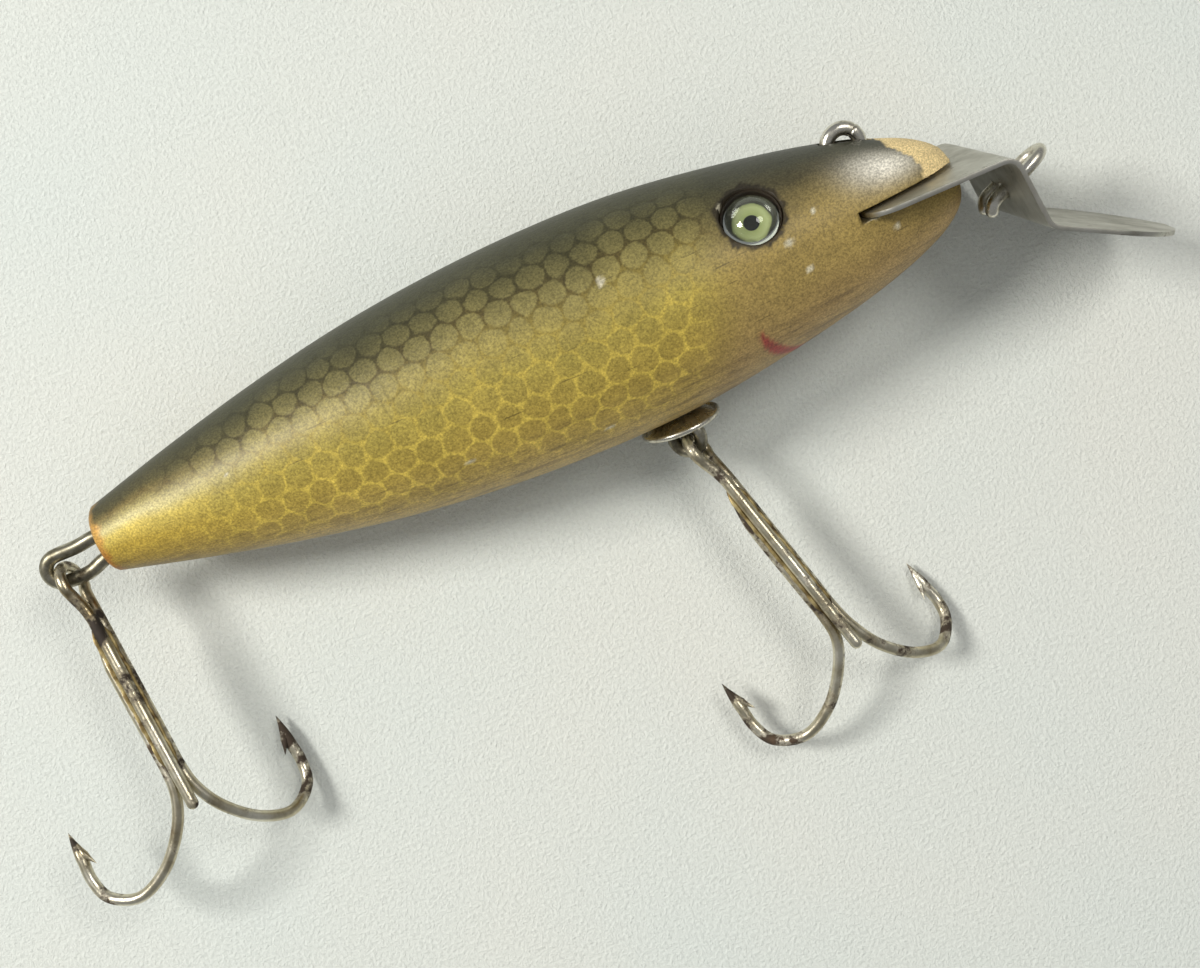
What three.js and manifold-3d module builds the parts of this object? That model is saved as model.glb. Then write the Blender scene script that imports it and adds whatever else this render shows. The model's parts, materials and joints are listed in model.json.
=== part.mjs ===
// A wooden diving lure for fishing. It lies on its left side, as a lure does on a table:
// +X runs from tail to nose, +Z is up, and the floor is z = 0.
// Millimetres. Each piece is modelled in the fish's own frame (x from the tail end towards
// the nose, y towards the fish's left, z towards its back) and the whole fish is then laid over.
import * as THREE from "three";
import { mergeVertices } from "three/addons/utils/BufferGeometryUtils.js";
import Module from "manifold-3d";

const wasm = await Module();
wasm.setup();

// Wooden body, turned round on the x axis.
const BODY_LENGTH = 88.9;
const BODY_OUTLINE = [
  // [distance from the tail end, radius]
  [0, 2.9], [0.5, 3.4], [9.6, 5.8], [19.2, 8.0], [28.7, 9.7], [38.3, 10.75], [48, 11.2],
  [57.5, 10.95], [67, 9.75], [76.6, 7.9], [82.5, 6.2], [86.3, 4.5], [88.2, 2.8], [BODY_LENGTH, 0],
];
const BODY_STEPS = 30;
const BODY_SIDES = 36;
const GAP = 0.3;

// How the lure lies: rolled back-up from flat on its side, nose a little up.
const ROLL = THREE.MathUtils.degToRad(16.6);
const PITCH = THREE.MathUtils.degToRad(0.8);

// Diving lip: one strip of sheet bent twice, held in a saw cut across the nose.
const LIP_SHEET = 0.55;
const LIP_HALF_WIDTH = 9.65;
const LIP_LEVEL = 1.0;
const LIP_BACK = 78.0;
const LIP_BEND_X = 92.0;
const LIP_RISER = 7.4;
const LIP_RISER_ANGLE = THREE.MathUtils.degToRad(81);
const LIP_BLADE = 15.0;
const LIP_BLADE_ANGLE = THREE.MathUtils.degToRad(27.6);
const LIP_NOSE_LENGTH = 7.5;
const LIP_BACK_CORNER = 3.0;
const LIP_BEND_RADIUS = 1.5;
const SLOT_BACK = 77.4;
const SLOT_HEIGHT = LIP_SHEET + 2 * GAP;

// Line tie: a wire loop through two holes in the lip's riser.
const TIE_WIRE = 1.3;
const TIE_SPREAD = 2.6;
const TIE_DROP = 4.3;
const TIE_REACH = 4.6;
const TIE_RISE = THREE.MathUtils.degToRad(24);

// Screw eyes.
const EYE_WIRE = 1.4;
const EYE_RING = 1.6;
const HEAD_EYE_X = 79.75;
const HEAD_EYE_Z = 6.6;
const HEAD_EYE_SHANK = 9.5;
const BELLY_EYE_X = 55.6;
const BELLY_EYE_Z = -13.75;
const BELLY_EYE_WIRE = 1.3;
const BELLY_EYE_RING = 1.45;
const BELLY_EYE_SHANK = 10;
const BELLY_EYE_TURN = THREE.MathUtils.degToRad(31);
const TAIL_EYE_X = -4.9;
const TAIL_EYE_RING = 1.4;
const TAIL_EYE_DROP = 1.0;
const TAIL_EYE_SHANK = 13;

// Flared washer between the belly and its screw eye.
const WASHER_RADIUS = 4.05;
const WASHER_SEAT = 1.9;
const WASHER_SHEET = 0.3;
const WASHER_FLARE = 0.85;
const WASHER_TOP = -11.25;

// Glass eyes, set in drilled sockets that look up and out.
const GLASS_X = 68.2;
const GLASS_LIFT = THREE.MathUtils.degToRad(35);
const PILOT_RADIUS = 1.05;
const TAIL_RECESS_RADIUS = 2.3;
const TAIL_RECESS_DEPTH = 1.9;
const SOCKET_RADIUS = 2.95;
const SOCKET_FLOOR = 6.7;
const GLASS_RADIUS = 2.6;
const GLASS_BASE = 7.5;
const GLASS_HEIGHT = 2.0;
const IRIS_RADIUS = 2.2;
const IRIS_SHEET = 0.3;
const PUPIL_RADIUS = 0.7;
const STEM_RADIUS = 0.4;
const STEM_LENGTH = 5.5;

// Treble hooks: a wire bent double that makes the eye and two arms, and a third wire brazed
// to it. The arm that points up at rest is clipped short on both hooks.
const HOOK_WIRE = 1.15;
const HOOK_EYE_RADIUS = 1.75;
const HOOK_THROAT = 4.2;
const HOOK_SPLIT = 20.3;
const HOOK_PITCH_CIRCLE = 0.76;
const HOOK_STUB_END = 24.2;
const HOOK_SIDES = 8;
const STUB_ANGLE = 90;
const NEAR_ANGLE = -30;
const FAR_ANGLE = 210;
const POINT_LENGTH = 3.2;

const materials = {
  paint: new THREE.MeshStandardMaterial({ color: 0xa08a3c, roughness: 0.35, metalness: 0.0 }),
  nickel: new THREE.MeshStandardMaterial({ color: 0xa5a08f, roughness: 0.35, metalness: 1.0 }),
  steel: new THREE.MeshStandardMaterial({ color: 0x6f6a5e, roughness: 0.4, metalness: 1.0 }),
  hook: new THREE.MeshStandardMaterial({ color: 0x7a6a4c, roughness: 0.5, metalness: 1.0 }),
  braze: new THREE.MeshStandardMaterial({ color: 0x9a7d45, roughness: 0.5, metalness: 1.0 }),
  glass: new THREE.MeshStandardMaterial({ color: 0xe9efe4, roughness: 0.05, metalness: 0.0 }),
  iris: new THREE.MeshStandardMaterial({ color: 0xc9cf9a, roughness: 0.4, metalness: 0.0 }),
  pupil: new THREE.MeshStandardMaterial({ color: 0x14130f, roughness: 0.2, metalness: 0.0 }),
};

// Geometry to a manifold solid: shared corners merged, collapsed triangles dropped.
function solid(geometry) {
  const bare = geometry.index ? geometry.toNonIndexed() : geometry.clone();
  bare.deleteAttribute("normal");
  bare.deleteAttribute("uv");
  const merged = mergeVertices(bare, 1e-4);
  const corners = merged.index.array;
  const kept = [];
  for (let i = 0; i < corners.length; i += 3) {
    const [a, b, c] = corners.slice(i, i + 3);
    if (a !== b && b !== c && c !== a) kept.push(a, b, c);
  }
  const vertProperties = new Float32Array(merged.attributes.position.array);
  const triVerts = new Uint32Array(kept);
  return new wasm.Manifold(new wasm.Mesh({ numProp: 3, vertProperties, triVerts }));
}

function geometryOf(shape) {
  const { vertProperties, triVerts } = shape.getMesh();
  const geometry = new THREE.BufferGeometry();
  geometry.setAttribute("position", new THREE.BufferAttribute(new Float32Array(vertProperties), 3));
  geometry.setIndex(new THREE.BufferAttribute(new Uint32Array(triVerts), 1));
  geometry.computeVertexNormals();
  return geometry;
}

function addPiece(parent, name, shape, material) {
  const piece = new THREE.Mesh(geometryOf(shape), material.clone());
  piece.name = name;
  parent.add(piece);
  return piece;
}

function circle(radius, sides) {
  const shape = new THREE.Shape();
  for (let i = 0; i < sides; i += 1) {
    const turn = (2 * Math.PI * i) / sides;
    const point = [radius * Math.cos(turn), radius * Math.sin(turn)];
    if (i === 0) shape.moveTo(...point);
    else shape.lineTo(...point);
  }
  shape.closePath();
  return shape;
}

function wireAlong(curve, diameter, steps, sides = 10) {
  const options = { steps, bevelEnabled: false, extrudePath: curve };
  return solid(new THREE.ExtrudeGeometry(circle(diameter / 2, sides), options));
}

function smoothCurve(points) {
  return new THREE.CatmullRomCurve3(points.map((p) => new THREE.Vector3(...p)), false, "centripetal");
}

// A plain cylinder from one point to another.
function rod(from, to, radius, sides = 24) {
  const start = new THREE.Vector3(...from);
  const run = new THREE.Vector3(...to).sub(start);
  const geometry = new THREE.CylinderGeometry(radius, radius, run.length(), sides);
  geometry.translate(0, run.length() / 2, 0);
  const upright = new THREE.Vector3(0, 1, 0);
  const turn = new THREE.Quaternion().setFromUnitVectors(upright, run.clone().normalize());
  geometry.applyQuaternion(turn);
  geometry.translate(start.x, start.y, start.z);
  return solid(geometry);
}

// Direction in the fish's y-z plane that an eye socket looks along; side is +1 left, -1 right.
function eyeDirection(side) {
  return new THREE.Vector3(0, side * Math.cos(GLASS_LIFT), Math.sin(GLASS_LIFT));
}

function onEyeAxis(side, distance) {
  const at = eyeDirection(side).multiplyScalar(distance);
  return [GLASS_X, at.y, at.z];
}

// Turned body with the lip's saw cut, the screw-eye holes and the two eye sockets.
function woodenBody() {
  const outline = new THREE.SplineCurve(BODY_OUTLINE.map(([x, r]) => new THREE.Vector2(r, x)));
  const profile = outline.getSpacedPoints(BODY_STEPS);
  profile.forEach((p) => p.setX(Math.max(p.x, 0)));
  profile[profile.length - 1].set(0, BODY_LENGTH);
  profile.unshift(new THREE.Vector2(0, 0));
  const turned = new THREE.LatheGeometry(profile, BODY_SIDES);
  turned.rotateZ(-Math.PI / 2);
  let body = solid(turned);

  const slotLength = BODY_LENGTH + 2 - SLOT_BACK;
  const slot = new THREE.BoxGeometry(slotLength, 40, SLOT_HEIGHT);
  slot.translate(SLOT_BACK + slotLength / 2, 0, LIP_LEVEL);
  body = body.subtract(solid(slot));

  const recess = EYE_RING + EYE_WIRE / 2 + GAP;
  const headRecess = rod([HEAD_EYE_X, -1.1, HEAD_EYE_Z], [HEAD_EYE_X, 1.1, HEAD_EYE_Z], recess);
  const headEnd = HEAD_EYE_Z - HEAD_EYE_SHANK - 1;
  const headHole = rod([HEAD_EYE_X, 0, HEAD_EYE_Z], [HEAD_EYE_X, 0, headEnd], PILOT_RADIUS, 12);
  const bellyEnd = BELLY_EYE_Z + BELLY_EYE_SHANK + 1;
  const bellyHole = rod([BELLY_EYE_X, 0, BELLY_EYE_Z], [BELLY_EYE_X, 0, bellyEnd], PILOT_RADIUS, 12);
  const tailRecess = rod([-1, 0, 0], [TAIL_RECESS_DEPTH, 0, 0], TAIL_RECESS_RADIUS);
  const tailHole = rod([0, 0, 0], [TAIL_EYE_SHANK + 1, 0, 0], PILOT_RADIUS, 12);
  body = body.subtract(headRecess).subtract(headHole).subtract(bellyHole);
  body = body.subtract(tailRecess).subtract(tailHole);
  for (const side of [1, -1]) {
    body = body.subtract(rod(onEyeAxis(side, SOCKET_FLOOR), onEyeAxis(side, 14), SOCKET_RADIUS, 28));
    const stemTop = onEyeAxis(side, SOCKET_FLOOR + 0.1);
    body = body.subtract(rod(onEyeAxis(side, 1.2), stemTop, STEM_RADIUS + GAP, 12));
  }
  return body;
}

// Middle line of the lip in the fish's x-z plane, with both bends as arcs.
function lipLine() {
  const start = new THREE.Vector2(LIP_BACK, LIP_LEVEL);
  const bend = new THREE.Vector2(LIP_BEND_X, LIP_LEVEL);
  const down = new THREE.Vector2(Math.cos(LIP_RISER_ANGLE), -Math.sin(LIP_RISER_ANGLE));
  const out = new THREE.Vector2(Math.cos(LIP_BLADE_ANGLE), -Math.sin(LIP_BLADE_ANGLE));
  const root = bend.clone().addScaledVector(down, LIP_RISER);
  const tip = root.clone().addScaledVector(out, LIP_BLADE);
  const corners = [start, bend, root, tip];
  const line = [start];
  for (let i = 1; i < corners.length - 1; i += 1) {
    const before = corners[i - 1].clone().sub(corners[i]).normalize();
    const after = corners[i + 1].clone().sub(corners[i]).normalize();
    const half = before.angleTo(after) / 2;
    const reach = LIP_BEND_RADIUS / Math.tan(half);
    const from = corners[i].clone().addScaledVector(before, reach);
    const to = corners[i].clone().addScaledVector(after, reach);
    const arc = new THREE.QuadraticBezierCurve(from, corners[i], to);
    line.push(...arc.getPoints(6));
  }
  line.push(tip);
  return line;
}

// Outline seen from the fish's back: square plate with rounded back corners, broad round front.
function lipPlan(tipX) {
  const plan = new THREE.Shape();
  const w = LIP_HALF_WIDTH;
  const c = LIP_BACK_CORNER;
  plan.moveTo(LIP_BACK + c, -w);
  plan.lineTo(tipX - LIP_NOSE_LENGTH, -w);
  plan.absellipse(tipX - LIP_NOSE_LENGTH, 0, LIP_NOSE_LENGTH, w, -Math.PI / 2, Math.PI / 2);
  plan.lineTo(LIP_BACK + c, w);
  plan.absarc(LIP_BACK + c, w - c, c, Math.PI / 2, Math.PI);
  plan.lineTo(LIP_BACK, c - w);
  plan.absarc(LIP_BACK + c, c - w, c, Math.PI, 1.5 * Math.PI);
  return plan;
}

function divingLip() {
  const line = lipLine();
  const sides = [[], []];
  line.forEach((point, i) => {
    const before = line[Math.max(i - 1, 0)];
    const after = line[Math.min(i + 1, line.length - 1)];
    const along = after.clone().sub(before).normalize();
    const across = new THREE.Vector2(-along.y, along.x).multiplyScalar(LIP_SHEET / 2);
    sides[0].push(point.clone().add(across));
    sides[1].push(point.clone().sub(across));
  });
  const section = new THREE.Shape([...sides[0], ...sides[1].reverse()]);
  const strip = new THREE.ExtrudeGeometry(section, { depth: 2 * LIP_HALF_WIDTH + 2, bevelEnabled: false });
  strip.translate(0, 0, -LIP_HALF_WIDTH - 1);
  strip.rotateX(Math.PI / 2);
  const tipX = line[line.length - 1].x;
  const planOptions = { depth: 40, bevelEnabled: false, curveSegments: 14 };
  const cutter = new THREE.ExtrudeGeometry(lipPlan(tipX), planOptions);
  cutter.translate(0, 0, -25);
  let lip = solid(strip).intersect(solid(cutter));
  lip = lip.subtract(rod([HEAD_EYE_X, 0, -3], [HEAD_EYE_X, 0, 5], EYE_WIRE / 2 + GAP, 16));
  for (const side of [1, -1]) {
    const leg = tieLeg(side);
    lip = lip.subtract(rod(leg[1], leg[2], TIE_WIRE / 2 + GAP, 12));
  }
  return lip;
}

// Straight part of one leg of the line tie, from the loop's shoulder back through the riser.
function tieLeg(side) {
  const x = LIP_BEND_X + 0.6;
  const z = LIP_LEVEL - TIE_DROP;
  const rise = Math.tan(TIE_RISE);
  const y = (side * TIE_SPREAD) / 2;
  return [
    [x + 2.4, y, z + 2.4 * rise],
    [x + 1.5, y, z + 1.5 * rise],
    [x - 1.5, y, z - 1.5 * rise],
  ];
}

// One wire: clinched end, leg, loop in front, leg, clinched end.
function lineTie() {
  const left = tieLeg(1);
  const right = tieLeg(-1);
  const rise = Math.tan(TIE_RISE);
  const front = [LIP_BEND_X + 0.6 + TIE_REACH, 0, LIP_LEVEL - TIE_DROP + TIE_REACH * rise];
  const clinch = ([x, y, z]) => [x - 0.9, y * 1.9, z - 1.5];
  const path = smoothCurve([
    clinch(left[2]), left[2], left[1], left[0],
    [front[0] - 0.7, 0.95, front[2] - 0.3], front, [front[0] - 0.7, -0.95, front[2] - 0.3],
    right[0], right[1], right[2], clinch(right[2]),
  ]);
  return wireAlong(path, TIE_WIRE, 44);
}

// Closed ring with its threaded shank, ring centre at the origin, shank towards -z.
function screwEye(ring, wire, shank) {
  const torus = new THREE.TorusGeometry(ring, wire / 2, 10, 28);
  torus.rotateX(Math.PI / 2);
  const stem = rod([0, 0, -ring], [0, 0, -shank], wire / 2, 10);
  return solid(torus).add(stem);
}

// Long-looped screw eye of the tail: shank forward along x, loop behind.
function tailScrewEye() {
  const r = TAIL_EYE_RING;
  const loop = [];
  for (let i = 0; i <= 8; i += 1) {
    const turn = Math.PI / 2 + (Math.PI * i) / 8;
    loop.push([TAIL_EYE_X + r * Math.cos(turn), 0, r * Math.sin(turn) - TAIL_EYE_DROP]);
  }
  const path = smoothCurve([
    [TAIL_EYE_SHANK, 0, 0], [7, 0, 0], [2.6, 0, 0], [1.2, 0, 0.2], [-0.4, 0, 0.6],
    [-2.6, 0, r - TAIL_EYE_DROP], ...loop, [-2.6, 0, -r - TAIL_EYE_DROP], [-0.9, 0, -1.85], [0.5, 0, -1.45],
  ]);
  return wireAlong(path, EYE_WIRE, 60);
}

function flaredWasher() {
  const hole = EYE_WIRE / 2 + GAP;
  const outline = [
    [hole, 0], [WASHER_SEAT, 0], [WASHER_RADIUS, -WASHER_FLARE],
    [WASHER_RADIUS, -WASHER_FLARE - WASHER_SHEET], [WASHER_SEAT, -WASHER_SHEET],
    [hole, -WASHER_SHEET], [hole, 0],
  ].reverse();
  const ring = new THREE.LatheGeometry(outline.map(([r, z]) => new THREE.Vector2(r, z)), 32);
  ring.rotateX(Math.PI / 2);
  return solid(ring);
}

// Eye pieces share a frame with +z looking out of the socket.
function glassDome() {
  const bulge = GLASS_HEIGHT;
  const outline = [new THREE.Vector2(0, 0), new THREE.Vector2(GLASS_RADIUS, 0)];
  for (let i = 0; i <= 8; i += 1) {
    const turn = (Math.PI / 2) * (i / 8);
    outline.push(new THREE.Vector2(GLASS_RADIUS * Math.cos(turn), 0.3 + bulge * Math.sin(turn)));
  }
  outline[outline.length - 1].x = 0;
  const dome = new THREE.LatheGeometry(outline, 24);
  dome.rotateX(Math.PI / 2);
  return solid(dome);
}

function addGlassEye(fish, side, label) {
  const eye = new THREE.Group();
  const direction = eyeDirection(side);
  eye.position.set(GLASS_X, direction.y * GLASS_BASE, direction.z * GLASS_BASE);
  eye.quaternion.setFromUnitVectors(new THREE.Vector3(0, 0, 1), direction);
  fish.add(eye);
  const irisTop = -0.05;
  const irisBack = irisTop - IRIS_SHEET;
  const disc = rod([0, 0, irisBack], [0, 0, irisTop], IRIS_RADIUS);
  const hole = rod([0, 0, -2], [0, 0, 1], PUPIL_RADIUS + 0.08, 16);
  addPiece(eye, `${label}_eye_glass`, glassDome(), materials.glass);
  addPiece(eye, `${label}_eye_iris`, disc.subtract(hole), materials.iris);
  const pupil = rod([0, 0, irisBack], [0, 0, irisTop], PUPIL_RADIUS, 16);
  addPiece(eye, `${label}_eye_pupil`, pupil, materials.pupil);
  const stemTop = irisBack - 0.1;
  const stem = rod([0, 0, stemTop - STEM_LENGTH], [0, 0, stemTop], STEM_RADIUS, 10);
  addPiece(eye, `${label}_eye_stem`, stem, materials.steel);
}

// One arm of a hook in its own frame: x along the shank from the eye, y outwards.
// reach is how far the point stands from the shank, bottom how far along the bend goes,
// and tip how far along the point ends.
function armPath({ reach, bottom, tip }) {
  const start = HOOK_PITCH_CIRCLE;
  const run = bottom - HOOK_SPLIT;
  return [
    [HOOK_SPLIT, start], [HOOK_SPLIT + 2.4, start + 0.35], [HOOK_SPLIT + run * 0.55, reach * 0.2],
    [HOOK_SPLIT + run * 0.87, reach * 0.46], [bottom - 0.15, reach * 0.74],
    [bottom - 1.7, reach * 0.96], [(bottom + tip) / 2 + 0.6, reach * 1.01], [tip + POINT_LENGTH, reach],
  ];
}

// Point with its barb, along -x from its root, barb on the shank's side.
function barbedPoint(root, reach) {
  const cone = new THREE.ConeGeometry(HOOK_WIRE / 2, POINT_LENGTH, HOOK_SIDES);
  cone.rotateZ(Math.PI / 2);
  cone.translate(root - POINT_LENGTH / 2, reach, 0);
  const barb = new THREE.Shape();
  barb.moveTo(root - 1.9, reach - 0.1);
  barb.lineTo(root + 0.9, reach - 1.35);
  barb.lineTo(root + 0.5, reach - 0.2);
  barb.closePath();
  const blade = new THREE.ExtrudeGeometry(barb, { depth: 0.36, bevelEnabled: false });
  blade.translate(0, 0, -0.18);
  return solid(cone).add(solid(blade));
}

// Wire arm turned to its own angle round the shank (degrees, 90 is the side the stub is on).
function hookArm(arm, angle) {
  const path = armPath(arm);
  const bend = wireAlong(smoothCurve(path.map(([x, y]) => [x, y, 0])), HOOK_WIRE, 26, HOOK_SIDES);
  return bend.add(barbedPoint(arm.tip + POINT_LENGTH, arm.reach)).rotate(angle, 0, 0);
}

// The straight wire of the shank at one angle, ending at a given distance from the eye.
function shankWire(angle, from, to) {
  const turn = THREE.MathUtils.degToRad(angle);
  const y = HOOK_PITCH_CIRCLE * Math.cos(turn);
  const z = HOOK_PITCH_CIRCLE * Math.sin(turn);
  return rod([from, y, z], [to, y, z], HOOK_WIRE / 2, HOOK_SIDES);
}

// Eye loop of the double wire, in the plane of its two shank wires.
function hookEye(angles) {
  const [a, b] = angles.map((angle) => {
    const turn = THREE.MathUtils.degToRad(angle);
    return new THREE.Vector2(Math.cos(turn), Math.sin(turn)).multiplyScalar(HOOK_PITCH_CIRCLE);
  });
  const middle = a.clone().add(b).multiplyScalar(0.5);
  const across = a.clone().sub(b).normalize();
  const point = (x, out, sink) => {
    const at = middle.clone().multiplyScalar(sink).addScaledVector(across, out);
    return [x, at.x, at.y];
  };
  const half = a.distanceTo(b) / 2;
  const loop = [];
  const opening = THREE.MathUtils.degToRad(52);
  for (let i = 0; i <= 12; i += 1) {
    const turn = opening + ((2 * Math.PI - 2 * opening) * i) / 12;
    loop.push(point(HOOK_EYE_RADIUS * Math.cos(turn), HOOK_EYE_RADIUS * Math.sin(turn), 0));
  }
  const path = smoothCurve([
    point(HOOK_THROAT + 0.6, half, 1), point(HOOK_THROAT, half, 1),
    point(HOOK_THROAT - 1.4, half + 0.18, 0.7), ...loop,
    point(HOOK_THROAT - 1.4, -half - 0.18, 0.7), point(HOOK_THROAT, -half, 1),
    point(HOOK_THROAT + 0.6, -half, 1),
  ]);
  return wireAlong(path, HOOK_WIRE, 40, HOOK_SIDES);
}

// Braze left in the grooves between the three shank wires: a three-armed star rod.
function brazeRod() {
  const star = new THREE.Shape();
  const arms = [30, 150, 270];
  const spokes = [];
  for (const arm of arms) {
    for (const [r, half] of [[0.42, -0.04], [0.88, -0.2], [0.98, 0], [0.88, 0.2], [0.42, 0.04]]) {
      spokes.push([arm, r, half]);
    }
    spokes.push([arm + 60, 0.1, 0]);
  }
  spokes.forEach(([arm, r, half], i) => {
    const turn = THREE.MathUtils.degToRad(arm);
    const x = r * Math.cos(turn) - half * Math.sin(turn);
    const y = r * Math.sin(turn) + half * Math.cos(turn);
    if (i === 0) star.moveTo(x, y);
    else star.lineTo(x, y);
  });
  star.closePath();
  const depth = HOOK_SPLIT - HOOK_THROAT - 1.6;
  const rodGeometry = new THREE.ExtrudeGeometry(star, { depth, bevelEnabled: false });
  rodGeometry.rotateY(Math.PI / 2);
  rodGeometry.rotateX(Math.PI / 2);
  rodGeometry.translate(HOOK_THROAT + 1.2, 0, 0);
  return solid(rodGeometry);
}

// A hook in its own frame: eye centre at the origin, shank along x, stub towards z.
function addHook(parent, label, near, far) {
  const stub = shankWire(STUB_ANGLE, HOOK_THROAT + 0.2, HOOK_STUB_END);
  const cap = new THREE.SphereGeometry(HOOK_WIRE / 2, HOOK_SIDES, 4);
  cap.rotateZ(-Math.PI / 2);
  cap.translate(HOOK_STUB_END, 0, HOOK_PITCH_CIRCLE);
  const double = hookEye([STUB_ANGLE, NEAR_ANGLE])
    .add(stub).add(solid(cap))
    .add(shankWire(NEAR_ANGLE, HOOK_THROAT + 0.2, HOOK_SPLIT + 0.2))
    .add(hookArm(near, NEAR_ANGLE));
  const single = shankWire(FAR_ANGLE, HOOK_THROAT + 1.2, HOOK_SPLIT + 0.2).add(hookArm(far, FAR_ANGLE));
  addPiece(parent, `${label}_hook_double_wire`, double, materials.hook);
  addPiece(parent, `${label}_hook_third_wire`, single, materials.hook);
  addPiece(parent, `${label}_hook_braze`, brazeRod(), materials.braze);
}

const lure = new THREE.Group();
const fish = new THREE.Group();
fish.rotation.set(-Math.PI / 2 + ROLL, 0, 0);
const pitched = new THREE.Group();
pitched.rotation.set(0, -PITCH, 0);
pitched.add(fish);
lure.add(pitched);

addPiece(fish, "wooden_body", woodenBody(), materials.paint);
addPiece(fish, "diving_lip", divingLip(), materials.nickel);
addPiece(fish, "line_tie", lineTie(), materials.nickel);

const headRing = screwEye(EYE_RING, EYE_WIRE, HEAD_EYE_SHANK);
const headEye = addPiece(fish, "head_screw_eye", headRing, materials.nickel);
headEye.position.set(HEAD_EYE_X, 0, HEAD_EYE_Z);

const bellyRing = screwEye(BELLY_EYE_RING, BELLY_EYE_WIRE, BELLY_EYE_SHANK);
const bellyEye = addPiece(fish, "belly_screw_eye", bellyRing, materials.steel);
bellyEye.rotation.set(Math.PI, 0, BELLY_EYE_TURN);
bellyEye.position.set(BELLY_EYE_X, 0, BELLY_EYE_Z);

const washer = addPiece(fish, "belly_washer", flaredWasher(), materials.nickel);
washer.position.set(BELLY_EYE_X, 0, WASHER_TOP);

addPiece(fish, "tail_screw_eye", tailScrewEye(), materials.steel);
addGlassEye(fish, -1, "right");
addGlassEye(fish, 1, "left");

// Hooks hang from their rings: each is placed in the laid-over frame by its eye and its shank.
function placeHook(label, eye, shank, up, near, far) {
  const hook = new THREE.Group();
  const x = new THREE.Vector3(...shank).normalize();
  const y = new THREE.Vector3(...up).cross(x).normalize();
  const z = x.clone().cross(y);
  hook.quaternion.setFromRotationMatrix(new THREE.Matrix4().makeBasis(x, y, z));
  hook.position.set(...eye);
  pitched.add(hook);
  addHook(hook, label, near, far);
}

placeHook("belly", [56.2, -14.75, -4.15], [0.267, -0.963, 0.03], [0.14, 0, 0.99],
  { reach: 12.1, bottom: 30.6, tip: 22.2 }, { reach: 13.8, bottom: 29.0, tip: 19.8 });
placeHook("tail", [-4.57, -2.62, -0.68], [0.101, -0.994, 0.03], [0.306, 0, 0.952],
  { reach: 12.9, bottom: 29.9, tip: 20.7 }, { reach: 13.4, bottom: 29.9, tip: 20.9 });

// Stand the lure on z = 0 with its box centred on the origin.
lure.updateMatrixWorld(true);
const box = new THREE.Box3().setFromObject(lure, true);
lure.position.set(-(box.min.x + box.max.x) / 2, -(box.min.y + box.max.y) / 2, -box.min.z);

export default lure;
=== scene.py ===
import json
import math

import bmesh
import bpy
import numpy as np
from mathutils import Matrix, Vector


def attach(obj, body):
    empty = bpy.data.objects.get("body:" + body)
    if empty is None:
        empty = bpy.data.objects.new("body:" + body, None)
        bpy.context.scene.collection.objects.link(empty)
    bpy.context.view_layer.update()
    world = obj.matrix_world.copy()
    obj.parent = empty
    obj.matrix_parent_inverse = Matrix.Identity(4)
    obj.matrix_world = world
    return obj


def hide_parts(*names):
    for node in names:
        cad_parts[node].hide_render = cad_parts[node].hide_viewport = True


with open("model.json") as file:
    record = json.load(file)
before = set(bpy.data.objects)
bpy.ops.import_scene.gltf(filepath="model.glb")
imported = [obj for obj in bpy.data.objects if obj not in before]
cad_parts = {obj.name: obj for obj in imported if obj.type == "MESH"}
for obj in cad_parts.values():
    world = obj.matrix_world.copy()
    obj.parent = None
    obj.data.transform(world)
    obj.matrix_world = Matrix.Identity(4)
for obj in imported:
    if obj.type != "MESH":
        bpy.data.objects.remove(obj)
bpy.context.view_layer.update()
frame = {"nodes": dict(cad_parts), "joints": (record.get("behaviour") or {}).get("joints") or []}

# The lure lies on its left side, rolled a little so that its back looks up, with its nose a
# little high. Every size below is in millimetres in the fish's own frame: x from the tail's flat
# end to the nose, y to the fish's left and z to its back.
MM = 0.001
ROLL = math.radians(16.6)
PITCH = math.radians(0.8)
BELLY_EYE_X = 55.6
BELLY_EYE_Z = -13.75
lying = Matrix.Rotation(-PITCH, 4, "Y")
fish_turn = lying @ Matrix.Rotation(-math.pi / 2 + ROLL, 4, "X")
joints = {joint["name"]: joint for joint in frame["joints"]}
belly_ring = Vector(joints["belly_hook_swing"]["pos_m"])
tail_end = belly_ring - fish_turn @ (Vector((BELLY_EYE_X, 0, BELLY_EYE_Z)) * MM)
fish = Matrix.Translation(tail_end) @ fish_turn @ Matrix.Scale(MM, 4)
laid = Matrix.Translation(tail_end) @ lying @ Matrix.Scale(MM, 4)

# Camera: looks straight down on the table from about 16 cm, with the lure crossing the view
# from lower left to upper right.
CAMERA_TURN = math.radians(-23.28)
camera = bpy.data.objects.new("camera", bpy.data.cameras.new("camera"))
camera.data.lens = 49.8
camera.data.sensor_width = 36.0
camera.location = tail_end + Vector((46.0, -13.97, 159.65)) * MM
camera.rotation_euler = (0, 0, CAMERA_TURN)
bpy.context.scene.collection.objects.link(camera)
bpy.context.scene.camera = camera
bpy.context.scene.view_settings.view_transform = "Standard"


# Two soft window-like lights over the table, from the upper left and upper right, a broad light
# overhead and an even pale surround. All are large, so that every shadow has a wide soft edge.
def add_soft_light(name, side, ahead, height, size, power):
    data = bpy.data.lights.new(name, "AREA")
    data.shape = "DISK"
    data.size = size
    data.energy = power
    data.color = (1.0, 0.985, 0.95)
    light = bpy.data.objects.new(name, data)
    across = Vector((math.cos(CAMERA_TURN), math.sin(CAMERA_TURN), 0))
    up_view = Vector((-math.sin(CAMERA_TURN), math.cos(CAMERA_TURN), 0))
    light.location = across * side + up_view * ahead + Vector((0, 0, height))
    light.rotation_euler = (-light.location).to_track_quat("-Z", "Y").to_euler()
    light.visible_glossy = size < 0.5
    bpy.context.scene.collection.objects.link(light)


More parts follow.
